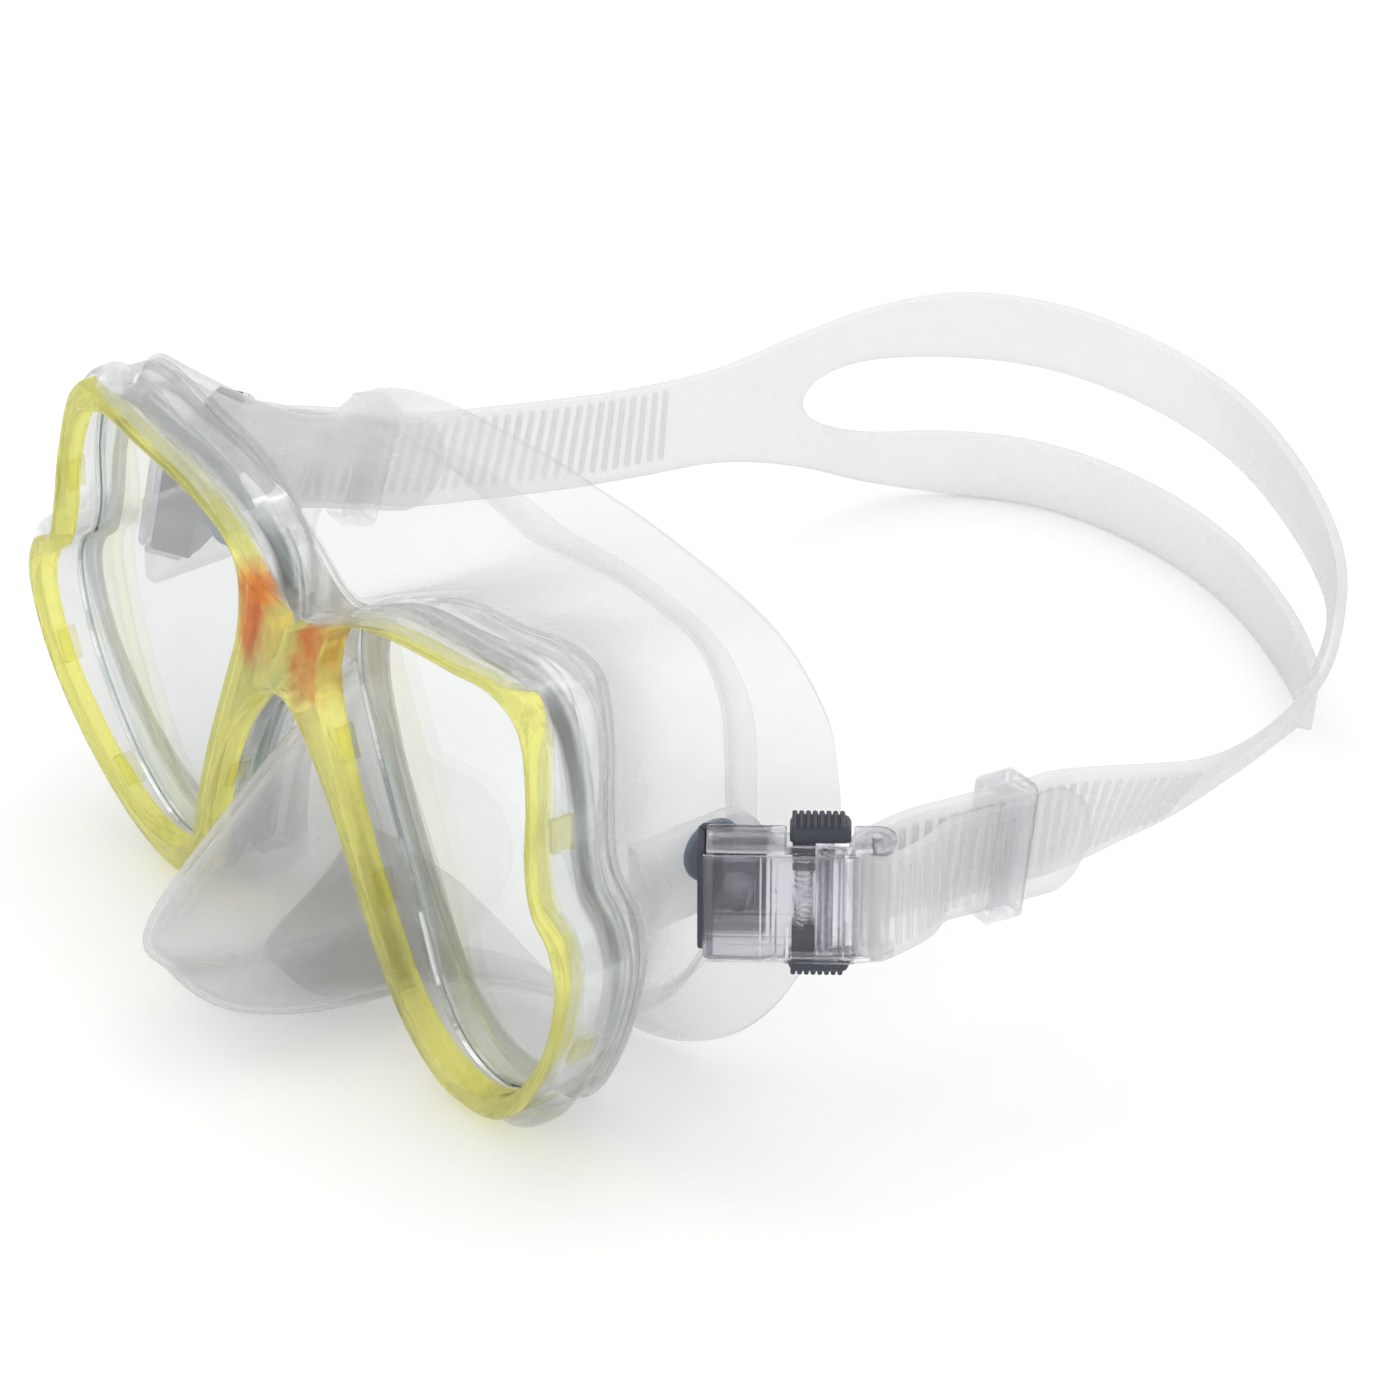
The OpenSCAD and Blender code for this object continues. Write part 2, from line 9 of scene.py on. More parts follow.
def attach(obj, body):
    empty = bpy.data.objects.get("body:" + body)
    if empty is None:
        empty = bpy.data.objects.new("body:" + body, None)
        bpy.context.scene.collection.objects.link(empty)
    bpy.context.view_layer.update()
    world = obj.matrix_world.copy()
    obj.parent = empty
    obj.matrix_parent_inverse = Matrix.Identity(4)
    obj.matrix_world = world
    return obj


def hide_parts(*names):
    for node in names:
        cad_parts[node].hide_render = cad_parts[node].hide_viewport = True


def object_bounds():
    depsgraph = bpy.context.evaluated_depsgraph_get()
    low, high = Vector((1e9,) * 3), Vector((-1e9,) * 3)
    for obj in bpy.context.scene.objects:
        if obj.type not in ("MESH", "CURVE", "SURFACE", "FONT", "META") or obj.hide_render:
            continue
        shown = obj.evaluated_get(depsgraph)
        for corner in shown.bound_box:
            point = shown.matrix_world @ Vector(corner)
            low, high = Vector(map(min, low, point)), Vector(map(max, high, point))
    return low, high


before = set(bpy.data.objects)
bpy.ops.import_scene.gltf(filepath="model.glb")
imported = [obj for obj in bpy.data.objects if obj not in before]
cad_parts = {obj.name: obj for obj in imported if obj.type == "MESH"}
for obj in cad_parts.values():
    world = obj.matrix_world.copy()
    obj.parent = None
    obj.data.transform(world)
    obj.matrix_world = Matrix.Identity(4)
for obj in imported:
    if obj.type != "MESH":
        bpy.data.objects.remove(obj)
cad_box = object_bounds()

MM = 0.001

# ---------------------------------------------------------------- measures, in millimetres
BEZEL_FRONT = -52.4
BEZEL_BACK = -47.9
CARRIER_BACK = -37.9
GLASS_FRONT = -43.3
GLASS_BACK = -40.1
SEAT_BACK = -39.2
BEND_R = 225.0
STAND = 46.0

OPENING = [
    (13.5, 30), (20, 34.5), (31, 37), (45, 38.5), (56, 39.5), (64, 36.5), (67.5, 27), (68.3, 16),
    (70.5, 8.5), (75, 4), (76.5, -3), (73.5, -14), (67.5, -24), (60, -32.5), (50, -38.3), (40, -37.5),
    (32.5, -30.5), (27.5, -19), (22, -6), (15.5, 10), (12, 21)]
HALF_OUTLINE = [
    (0, 26.5), (11, 31.5), (28, 39.5), (44, 42), (57, 44.3), (65.5, 42.5), (70, 34), (71.7, 24),
    (73.5, 14), (79.5, 8), (81.5, 0), (79, -11), (73, -24), (65, -35.5), (56.5, -42.6), (48, -45.2),
    (38, -44), (30.5, -37), (25, -24.5), (19.5, -10.5), (11.5, 3.5), (0, 14)]
# Which place on the outline each opening point faces
FACING = [0.3, 1.1, 2, 3, 4, 5, 6, 7, 8, 9, 10, 11, 12, 13, 14.5, 15.7, 17, 18, 19, 20, 21.4, 22.3]
SEAL = [
    (0, 13, 30), (13, 13, 30), (28, 12.5, 29.5), (41, 12, 28.5), (52, 11, 27), (61, 9.5, 24),
    (68.5, 8, 19), (73, 6, 13), (75.5, 4.5, 7), (77, 3, 1), (77.5, 2, -5), (76.5, 0, -13),
    (73.5, -2, -22), (68.5, -4, -31), (61, -6, -39), (51, -9, -44.5), (41, -12, -45.6),
    (31, -14, -43.5), (22, -15.5, -40), (14, -16, -37.5), (7, -16, -36.5), (0, -16, -36)]
NOSE_SHARE = [0] * 16 + [0, 0.13, 0.4, 0.72, 0.93, 1]
NOSE_LINE = [(-34.5, 13), (-38, 9.5), (-47, 4), (-62, -8), (-75, -20), (-77.5, -28), (-70, -35),
             (-54, -39.5), (-38, -42), (-25, -41), (-16, -36)]
WAIST = 0.18

POST = (69.4, -14.5, 4.0)
BUCKLE_OUT = 4.6
BUCKLE_TURN = math.radians(38.5)
DROOP = {1: 0.0, -1: math.radians(13)}
RUN_ANGLE = {1: math.radians(2), -1: math.radians(-9)}
FALL = {1: math.radians(7), -1: math.radians(4)}
SIDES = ((1, "left"), (-1, "right"))
LEVELS = ((1, "upper"), (-1, "lower"))
ROLLER = (6.6, 21.5)
STRAP_THICK = 2.0
STRAP_HALF = 9.0
SPLIT_HALF = 22.0
SLOT_HALF = 8.5
WRAP_R = 2.2 + 0.3 + STRAP_THICK / 2
LAYER_GAP = STRAP_THICK + 0.3

# The buckle in its own axes: x away from the mask, y towards the strap, z up
BASE_LOW, BASE_HALF = 1.6, 9.3
FLOOR_LOW, FLOOR_TOP = 3.6, 4.7
FRONT_END = -4.9
WALL_TOP = 10.4
WALL_IN, WALL_OUT = 9.45, 10.8
LOBE_R = 3.1
COVER_LOW = 10.55
CAP_LOW = 11.0
PAWL_AXIS = (8.1, 13.4)
PAWL_HALF = 8.3
PAWL_BORE_R = 0.66
SPRING_AXIS = (6.5, 10.3)


# ---------------------------------------------------------------- curves
def spline(a, b, c, d, t):
    """One stretch of a smooth curve from b to c."""
    return 0.5 * (2 * b + (c - a) * t + (2 * a - 5 * b + 4 * c - d) * t * t
                  + (3 * b - a - 3 * c + d) * t ** 3)


def on_loop(points, s):
    """The point at place s on the smooth closed curve through points."""
    p = np.asarray(points, float)
    m = len(p)
    i = int(math.floor(s)) % m
    return spline(p[i - 1], p[i], p[(i + 1) % m], p[(i + 2) % m], s - math.floor(s))


def on_path(points, s):
    """The point at place s on the smooth open curve through points."""
    p = np.asarray(points, float)
    m = len(p) - 1
    i = min(max(int(math.floor(s)), 0), m - 1)
    return spline(p[max(i - 1, 0)], p[i], p[i + 1], p[min(i + 2, m)], s - i)


FULL_OUTLINE = HALF_OUTLINE + [(-x, z) for x, z in HALF_OUTLINE[-2:0:-1]]


def turned_left(t):
    """The outward direction beside a clockwise curve's direction t."""
    n = np.array([-t[1], t[0]])
    return n / np.linalg.norm(n)


def opening_point(u, d=0.0):
    p = on_loop(OPENING, u)
    return p + d * turned_left(on_loop(OPENING, u + 0.02) - on_loop(OPENING, u - 0.02))


def outline_point(s, d=0.0):
    """A point on the left half's outer edge, closed along the middle plane from place 21 to 22."""
    s = s % len(HALF_OUTLINE)
    last = len(HALF_OUTLINE) - 1
    if s <= last:
        p = on_loop(FULL_OUTLINE, s)
        if s == 0:
            return np.array([0.0, p[1] + d])
        if s == last:
            return np.array([0.0, p[1] - d])
        q = p + d * turned_left(on_loop(FULL_OUTLINE, s + 0.02) - on_loop(FULL_OUTLINE, s - 0.02))
        return np.array([max(q[0], 0.0), q[1]])
    t = s - last
    top, low = HALF_OUTLINE[0][1] + d, HALF_OUTLINE[last][1] - d
    return np.array([0.0, low + (top - low) * t])


def bend(z):
    return BEND_R - np.sqrt(BEND_R ** 2 - np.asarray(z) ** 2)


def facing(u):
    return float(np.interp(u, range(len(FACING)), FACING))


def ring_places(steps):
    """Places round a window, with the two where the outline meets the middle plane."""
    places = [k / steps for k in range(len(OPENING) * steps)]
    for goal in (21.0, 22.0):
        places.append(float(np.interp(goal, FACING, range(len(FACING)))))
    return sorted(set(places))


# ---------------------------------------------------------------- meshes
def new_object(name, verts, faces, materials, smooth=True, scale=MM):
    mesh = bpy.data.meshes.new(name)
    mesh.from_pydata([tuple(float(c) * scale for c in v) for v in verts], [], [tuple(f) for f in faces])
    mesh.validate()
    obj = bpy.data.objects.new(name, mesh)
    bpy.context.scene.collection.objects.link(obj)
    for m in materials if isinstance(materials, (list, tuple)) else [materials]:
        mesh.materials.append(m)
    if smooth:
        mesh.polygons.foreach_set("use_smooth", [True] * len(mesh.polygons))
    mesh.update()
    return obj


def tidy(obj, merge=2e-6, sharp=None):
    """Merges doubles and turns every face outwards."""
    b = bmesh.new()
    b.from_mesh(obj.data)
    bmesh.ops.remove_doubles(b, verts=b.verts, dist=merge)
    bmesh.ops.dissolve_degenerate(b, edges=b.edges, dist=1e-7)
    bmesh.ops.recalc_face_normals(b, faces=b.faces)
    b.to_mesh(obj.data)
    b.free()
    obj.data.update()
    if sharp:
        obj.data.set_sharp_from_angle(angle=math.radians(sharp))
    return obj


def apply_modifiers(obj):
    depsgraph = bpy.context.evaluated_depsgraph_get()
    mesh = bpy.data.meshes.new_from_object(obj.evaluated_get(depsgraph), depsgraph=depsgraph)
    obj.modifiers.clear()
    old = obj.data
    obj.data = mesh
    bpy.data.meshes.remove(old)
    return obj


def bevel(obj, width, segments=2, angle=35):
    m = obj.modifiers.new("soft_edges", "BEVEL")
    m.width = width * MM
    m.segments = segments
    m.limit_method = "ANGLE"
    m.angle_limit = math.radians(angle)
    m.harden_normals = False
    apply_modifiers(obj)
    obj.data.polygons.foreach_set("use_smooth", [True] * len(obj.data.polygons))
    obj.data.set_sharp_from_angle(angle=math.radians(38))
    return obj


def join(name, objs):
    """Several meshes as one piece."""
    b = bmesh.new()
    materials = []
    for o in objs:
        start = len(b.faces)
        b.from_mesh(o.data)
        b.faces.ensure_lookup_table()
        for f in b.faces[start:]:
            m = o.data.materials[f.material_index]
            if m not in materials:
                materials.append(m)
            f.material_index = materials.index(m)
    mesh = bpy.data.meshes.new(name)
    b.to_mesh(mesh)
    b.free()
    for m in materials:
        mesh.materials.append(m)
    for o in objs:
        old = o.data
        bpy.data.objects.remove(o)
        bpy.data.meshes.remove(old)
    obj = bpy.data.objects.new(name, mesh)
    bpy.context.scene.collection.objects.link(obj)
    return obj


def place(obj, matrix):
    """Puts a mesh's place into its points, and keeps its faces outwards under a mirror."""
    obj.data.transform(matrix)
    if matrix.determinant() < 0:
        obj.data.flip_normals()
    obj.data.update()
    return obj


def box_mesh(name, low, high, material, edge=0.4, segments=2, taper=None):
    """A block with rounded edges; taper moves its corners: a function of (x, y, z)."""
    x, y, z = zip(low, high)
    verts = [(x[i], y[j], z[k]) for i in (0, 1) for j in (0, 1) for k in (0, 1)]
    if taper:
        verts = [taper(*v) for v in verts]
    faces = [(0, 1, 3, 2), (4, 6, 7, 5), (0, 4, 5, 1), (2, 3, 7, 6), (0, 2, 6, 4), (1, 5, 7, 3)]
    obj = tidy(new_object(name, verts, faces, material))
    return bevel(obj, edge, segments)


def lathe(name, profile, material, axis="X", centre=(0, 0, 0), steps=48, sharp=38):
    """A turned piece from (along, radius) points; closed at both ends by radius 0."""
    verts, faces = [], []
    for a, r in profile:
        for k in range(steps):
            t = 2 * math.pi * k / steps
            v = (a, r * math.cos(t), r * math.sin(t))
            if axis == "Z":
                v = (v[1], v[2], v[0])
            if axis == "Y":
                v = (v[2], v[0], v[1])
            verts.append(tuple(v[i] + centre[i] for i in range(3)))
    n = len(profile)
    for i in range(n - 1):
        for k in range(steps):
            faces.append((i * steps + k, i * steps + (k + 1) % steps,
                          (i + 1) * steps + (k + 1) % steps, (i + 1) * steps + k))
    return tidy(new_object(name, verts, faces, material), sharp=sharp)


def loft(name, rings, material, closed_rings=True, closed_path=False, caps=False):
    """Quads between rings of equal length."""
    m = len(rings[0])
    verts = [p for r in rings for p in r]
    faces = []
    rows = len(rings)
    for j in range(rows if closed_path else rows - 1):
        for i in range(m if closed_rings else m - 1):
            a, b = j * m + i, j * m + (i + 1) % m
            c, d = ((j + 1) % rows) * m + i, ((j + 1) % rows) * m + (i + 1) % m
            faces.append((a, b, d, c))
    if caps:
        faces.append(tuple(range(m)))
        faces.append(tuple(range((rows - 1) * m, rows * m))[::-1])
    return new_object(name, verts, faces, material)


# ---------------------------------------------------------------- materials
class Finish:
    """A material's node tree, with short calls for what it needs."""

    def __init__(self, name):
        self.m = bpy.data.materials.new(name)
        self.m.use_nodes = True
        self.tree = self.m.node_tree
        self.p = self.tree.nodes["Principled BSDF"]
        self.out = self.tree.nodes["Material Output"]
        self.coords = self.node("TexCoord").outputs["Object"]

    def node(self, kind, **values):
        n = self.tree.nodes.new("ShaderNode" + kind)
        for key, value in values.items():
            if hasattr(n, key):
                setattr(n, key, value)
            else:
                n.inputs[key.replace("_", " ")].default_value = value
        return n

    def link(self, a, b):
        self.tree.links.new(a, b)

    def noise(self, scale, detail=3.0, rough=0.5, stretch=None):
        n = self.node("TexNoise", Scale=scale, Detail=detail, Roughness=rough)
        if stretch:
            mapping = self.node("Mapping")
            mapping.inputs["Scale"].default_value = stretch
            self.link(self.coords, mapping.inputs["Vector"])
            self.link(mapping.outputs["Vector"], n.inputs["Vector"])
        else:
            self.link(self.coords, n.inputs["Vector"])
        return n.outputs["Fac"]

    def remap(self, value, low, high, to_low, to_high):
        n = self.node("MapRange")
        for key, v in zip(("From Min", "From Max", "To Min", "To Max"), (low, high, to_low, to_high)):
            n.inputs[key].default_value = v
        self.link(value, n.inputs["Value"])
        return n.outputs["Result"]

    def mix(self, factor, a, b):
        """A colour between a and b; each may be a colour or a socket."""
        n = self.node("Mix", data_type="RGBA")
        if isinstance(factor, (int, float)):
            n.inputs[0].default_value = factor
        else:
            self.link(factor, n.inputs[0])
        for socket, value in ((n.inputs[6], a), (n.inputs[7], b)):
            if isinstance(value, tuple):
                socket.default_value = (*value, 1.0)
            else:
                self.link(value, socket)
        return n.outputs[2]

    def bump(self, height, strength, distance):
        n = self.node("Bump", Strength=strength, Distance=distance)
        self.link(height, n.inputs["Height"])
        self.link(n.outputs["Normal"], self.p.inputs["Normal"])

    def edge_on(self, blend):
        """0 where a surface faces the eye, 1 where it is seen edge-on."""
        return self.node("LayerWeight", Blend=blend).outputs["Facing"]

    def lamps_pass(self, tint, plain=0.0, plain_tint=(1.0, 1.0, 1.0)):
        """Lets lamps shine through a clear piece; plain is the share of light that goes straight on."""
        surface = self.p.outputs[0]
        if plain:
            straight = self.node("BsdfTransparent")
            if isinstance(plain_tint, tuple):
                straight.inputs["Color"].default_value = (*plain_tint, 1.0)
            else:
                self.link(plain_tint, straight.inputs["Color"])
            part = self.node("MixShader", Fac=1 - plain)
            self.link(straight.outputs[0], part.inputs[1])
            self.link(surface, part.inputs[2])
            surface = part.outputs[0]
        path = self.node("LightPath")
        clear = self.node("BsdfTransparent", Color=(*tint, 1.0))
        both = self.node("MixShader")
        self.link(path.outputs["Is Shadow Ray"], both.inputs[0])
        self.link(surface, both.inputs[1])
        self.link(clear.outputs[0], both.inputs[2])
        self.link(both.outputs[0], self.out.inputs["Surface"])


def tinted_plastic():
    f = Finish("tinted_plastic")
    place_of = f.node("SeparateXYZ")
    f.link(f.coords, place_of.inputs[0])
    # beside the bridge light goes the long way through the plastic, which turns deep orange there
    middle = f.node("Math", operation="ABSOLUTE")
    f.link(place_of.outputs["X"], middle.inputs[0])
    centre = f.node("CombineXYZ")
    f.link(f.remap(middle.outputs[0], 0.0, 0.02, 0.0, 2.0), centre.inputs["X"])
    f.link(f.remap(place_of.outputs["Z"], 0.0, 0.02, 0.0, 1.0), centre.inputs["Y"])
    away = f.node("VectorMath", operation="DISTANCE")
    f.link(centre.outputs[0], away.inputs[0])
    away.inputs[1].default_value = (0.80, 1.08, 0.0)
    swirl = f.noise(240, 4, 0.6, (1.0, 1.0, 0.5))
    near = f.node("Math", operation="ADD")
    f.link(away.outputs["Value"], near.inputs[0])
    f.link(f.remap(swirl, 0.3, 0.7, -0.2, 0.2), near.inputs[1])
    streaks = f.noise(160, 4, 0.6, (1.0, 0.5, 2.2))
    body = f.mix(f.remap(streaks, 0.35, 0.7, 0.0, 1.0), (0.93, 0.88, 0.26), (0.85, 0.86, 0.30))
    rim = f.mix(f.remap(f.edge_on(0.35), 0.5, 1.0, 0.0, 0.85), body, (0.80, 0.55, 0.04))
    deep = f.mix(f.remap(near.outputs[0], 0.12, 0.5, 1.0, 0.0), rim, (0.80, 0.12, 0.01))
    f.link(deep, f.p.inputs["Base Color"])
    f.p.inputs["Roughness"].default_value = 0.07
    f.p.inputs["IOR"].default_value = 1.47
    f.p.inputs["Transmission Weight"].default_value = 0.97
    f.bump(f.noise(90, 2), 0.08, 0.0003)
    straight = f.mix(f.remap(near.outputs[0], 0.12, 0.5, 1.0, 0.0), (0.96, 0.94, 0.50), (0.92, 0.34, 0.03))
    f.lamps_pass((0.97, 0.95, 0.72), 0.32, straight)
    return f.m


def clear_plastic(name, tint=(0.965, 0.972, 0.97), wave=0.05, plain=0.6):
    f = Finish(name)
    cloud = f.noise(70, 3)
    colour = f.mix(f.remap(cloud, 0.35, 0.65, 0.0, 1.0), tint, tuple(c * 0.97 for c in tint))
    f.link(colour, f.p.inputs["Base Color"])
    f.link(f.remap(f.noise(400, 2), 0.3, 0.7, 0.015, 0.05), f.p.inputs["Roughness"])
    f.p.inputs["IOR"].default_value = 1.42
    f.p.inputs["Transmission Weight"].default_value = 1.0
    f.bump(f.noise(60, 2), wave, 0.0005)
    f.lamps_pass((0.93, 0.94, 0.935), plain, tint)
    return f.m


def glass(name, tint):
    f = Finish(name)
    colour = f.mix(f.remap(f.noise(30, 2), 0.4, 0.6, 0.0, 1.0), tint, tuple(c * 0.985 for c in tint))
    f.link(colour, f.p.inputs["Base Color"])
    f.p.inputs["Roughness"].default_value = 0.0
    f.p.inputs["IOR"].default_value = 1.5
    f.p.inputs["Transmission Weight"].default_value = 1.0
    f.lamps_pass((0.93, 0.95, 0.94))
    return f.m


def silicone(name, thin, thick, face=(0.66, 0.66, 0.67), edge=(0.46, 0.46, 0.47), rough=0.24):
    """Clear silicone: a see-through skin, fuller and darker where it is seen edge-on."""
    f = Finish(name)
    haze = f.noise(45, 4, 0.55)
    grazing = f.edge_on(0.5)
    power = f.node("Math", operation="POWER")
    power.inputs[1].default_value = 2.2
    f.link(grazing, power.inputs[0])
    colour = f.mix(f.remap(power.outputs[0], 0.1, 1.0, 0.0, 1.0), face, edge)
    f.link(colour, f.p.inputs["Base Color"])
    f.link(f.remap(haze, 0.3, 0.7, rough - 0.05, rough + 0.08), f.p.inputs["Roughness"])
    f.p.inputs["IOR"].default_value = 1.41
    f.bump(f.noise(140, 3), 0.08, 0.0004)
    clear = f.node("BsdfTransparent", Color=(0.97, 0.97, 0.972, 1.0))
    cover = f.node("Math", operation="ADD")
    f.link(f.remap(power.outputs[0], 0.0, 1.0, thin, thick), cover.inputs[0])
    f.link(f.remap(haze, 0.35, 0.65, -0.03, 0.03), cover.inputs[1])
    both = f.node("MixShader")
    f.link(cover.outputs[0], both.inputs[0])
    f.link(clear.outputs[0], both.inputs[1])
    f.link(f.p.outputs[0], both.inputs[2])
    f.link(both.outputs[0], f.out.inputs["Surface"])
    return f.m


def dark_plastic(name, colour, rough):
    f = Finish(name)
    grain = f.noise(900, 3, 0.6)
    tone = f.noise(60, 3)
    mixed = f.mix(f.remap(tone, 0.3, 0.7, 0.0, 1.0), colour, tuple(c * 1.35 for c in colour))
    f.link(mixed, f.p.inputs["Base Color"])
    f.link(f.remap(grain, 0.3, 0.7, rough - 0.06, rough + 0.08), f.p.inputs["Roughness"])
    f.bump(grain, 0.18, 0.00006)
    return f.m


def steel_wire():
    f = Finish("steel_wire")
    lines = f.noise(600, 2, 0.5, (1, 1, 12))
    f.link(f.mix(f.remap(lines, 0.3, 0.7, 0, 1), (0.62, 0.62, 0.64), (0.74, 0.74, 0.75)),
           f.p.inputs["Base Color"])
    f.p.inputs["Metallic"].default_value = 1.0
    f.link(f.remap(lines, 0.3, 0.7, 0.2, 0.34), f.p.inputs["Roughness"])
    f.bump(lines, 0.1, 0.00003)
    return f.m


TINTED = tinted_plastic()
FRAME_CLEAR = clear_plastic("frame_clear")
SNAP_PLASTIC = clear_plastic("snap_plastic", (0.955, 0.945, 0.72), 0.02, 0.5)
BUCKLE_CLEAR = clear_plastic("buckle_clear", (0.925, 0.925, 0.95), 0.03, 0.3)
KEEPER_CLEAR = clear_plastic("keeper_clear", (0.94, 0.94, 0.95), 0.1, 0.6)
GLASS = glass("tempered_glass", (0.93, 0.95, 0.945))
GLASS_EDGE = glass("glass_rim", (0.62, 0.86, 0.78))
SKIRT_SKIN = silicone("skirt_silicone", 0.13, 0.85, (0.74, 0.74, 0.745), (0.52, 0.52, 0.53))
SEAT_SKIN = silicone("seat_silicone", 0.14, 0.6, (0.86, 0.87, 0.87), (0.66, 0.67, 0.67))
LIP_SKIN = silicone("lip_silicone", 0.03, 0.5, (0.84, 0.84, 0.84), (0.55, 0.55, 0.56))
STRAP_SKIN = silicone("strap_silicone", 0.34, 0.85, (0.79, 0.79, 0.795), (0.55, 0.55, 0.56))
RIB_SKIN = silicone("rib_silicone", 0.3, 0.75, (0.86, 0.86, 0.865), (0.5, 0.5, 0.51))
DARK = dark_plastic("dark_plastic", (0.030, 0.034, 0.048), 0.42)
BLUE_DARK = dark_plastic("swivel_plastic", (0.025, 0.075, 0.165), 0.38)
STEEL = steel_wire()


def finish_piece(obj, body, slot, *nodes):
    """Says what a piece rides on and which solids it stands for; slot is not used."""
    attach(obj, body)
    if nodes:
        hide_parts(*nodes)
    return obj


# ---------------------------------------------------------------- lens bezel and carrier frame
def distance_to(points, line):
    """How far each point is from a closed line."""
    p = np.asarray(points, float)[:, None, :]
    a = np.asarray(line, float)[None, :, :]
    b = np.roll(a, -1, axis=1)
    d = b - a
    t = np.clip(((p - a) * d).sum(-1) / np.maximum((d * d).sum(-1), 1e-12), 0, 1)
    return np.sqrt((((p - a) - t[..., None] * d) ** 2).sum(-1)).min(1)


def rounding(distance, r):
    """How far a rounded edge drops at a distance from it."""
    d = np.clip(r - distance, 0, r)
    return r - np.sqrt(np.maximum(r * r - d * d, 0))


OPENING_LINE = [on_loop(OPENING, k / 12) for k in range(len(OPENING) * 12)]
ACROSS = [0, 0.03, 0.07, 0.13, 0.21, 0.32, 0.45, 0.58, 0.7, 0.8, 0.88, 0.94, 0.975, 1.0]


def mirrored_object(name, verts, faces, material):
    n = len(verts)
    verts = list(verts) + [(-v[0], v[1], v[2]) for v in verts]
    faces = list(faces) + [tuple(n + i for i in f[::-1]) for f in faces]
    return tidy(new_object(name, verts, faces, material))


def window_ring(name, places, columns, material):
    """A ring round the left window and its mirror image, joined in the middle.

    columns(u) gives the closed cross-section at a place as (x, y, z) points."""
    sections = [columns(u) for u in places]
    m = len(sections[0])
    verts = [p for s in sections for p in s]
    faces = []
    rows = len(sections)
    for j in range(rows):
        k = (j + 1) % rows
        for i in range(m):
            quad = (j * m + i, j * m + (i + 1) % m, k * m + (i + 1) % m, k * m + i)
            if all(abs(verts[q][0]) < 1e-6 for q in quad):
                continue
            faces.append(quad)
    return mirrored_object(name, verts, faces, material)


# How much of the rim's width is tinted at each place round a window; the rest is clear frame
TINT_SHARE = [
    (0, 0.8), (0.5, 0.5), (1.2, 0.3), (4.0, 0.32), (4.8, 0.85), (5.3, 0.8), (6.0, 0.42), (8.0, 0.4),
    (8.8, 0.62), (9.6, 0.6), (10.4, 0.45), (12.4, 0.45),
    (13.4, 0.6), (14.4, 0.85), (15.2, 1.0), (20.2, 1.0), (21, 0.8)]
HOOK_PLACES = (6.5, 11.0, 13.0, 17.5, 19.0)


def tint_share(u):
    return float(np.interp(u, [k for k, _ in TINT_SHARE], [w for _, w in TINT_SHARE]))


def raised(u):
    """How far the clear frame rises beside the rim: 0 where the rim is full width, 1 where it is narrow."""
    return min(1.0, (1 - tint_share(u)) * 2.5)


def front_rim(u):
    """Where the tinted rim's front ends."""
    inner, outer = opening_point(u), outline_point(facing(u))
    return inner + (outer - inner) * tint_share(u)


def make_bezel():
    places = ring_places(14)

    def columns(u):
        inner, outer = opening_point(u), front_rim(u)
        flat = [inner + (outer - inner) * f for f in ACROSS]
        to_in = distance_to(flat, OPENING_LINE)
        width = np.linalg.norm(outer - inner)
        front = []
        for p, f, b in zip(flat, ACROSS, to_in):
            r = min(1.5, 0.5 * width)
            a = 9.0 if outer[0] < 0.01 else (1 - f) * width
            drop = float(rounding(a, r)) * 0.8 + float(rounding(b, 0.7))
            # the plastic stands a little proud over the bridge
            swell = 0.8 * math.exp(-(p[0] / 11.0) ** 2) * math.exp(-((p[1] - 20) / 9.0) ** 2)
            front.append((p[0], BEZEL_FRONT + float(bend(p[1])) + min(drop, 2.2) - swell, p[1]))
        section = list(front)
        for p, f in ((outer, 0.5), (outer, 1.0)):
            y0 = front[-1][1]
            y1 = BEZEL_BACK + float(bend(p[1]))
            y1 += (min(y0 + 0.5, y1) - y1) * raised(u)
            section.append((p[0], y0 + (y1 - y0) * f, p[1]))
        for f in (0.66, 0.33, 0.0):
            p = inner + (outer - inner) * f
            section.append((p[0], BEZEL_BACK + float(bend(p[1])), p[1]))
        p = inner
        y0, y1 = section[-1][1], front[0][1]
        section.append((p[0], y0 + (y1 - y0) * 0.5, p[1]))
        return section

    obj = window_ring("bezel_rim", places, columns, TINTED)
    obj.data.set_sharp_from_angle(angle=math.radians(50))
    # small snap hooks behind the rim
    parts = [obj]
    for side, _ in SIDES:
        for u in HOOK_PLACES:
            c = opening_point(u, 2.85)
            t = on_loop(OPENING, u + 0.05) - on_loop(OPENING, u - 0.05)
            angle = math.atan2(t[1], t[0])
            hook = box_mesh("hook", (-3, -1.4, -0.4), (3, 2.5, 0.4), SNAP_PLASTIC, 0.15, 1)
            m = (Matrix.Diagonal((side, 1, 1, 1)) @ Matrix.Translation(
                Vector((c[0], BEZEL_BACK + float(bend(c[1])), c[1])) * MM)
                @ Matrix.Rotation(-angle, 4, "Y"))
            parts.append(place(hook, m))
    return join("tinted_bezel", parts)


# Outer side of the carrier as (how far outside the outline, how far behind the bezel)
CARRIER_SIDE = [
    (0.5, 0.35), (0.5, 2.6), (0.38, 2.98), (0.05, 3.2), (-0.45, 3.5), (-0.8, 4.1), (-0.9, 4.9), (-0.95, 7.5),
    (-1.05, 8.9), (-1.35, 9.6), (-1.9, 9.98)]


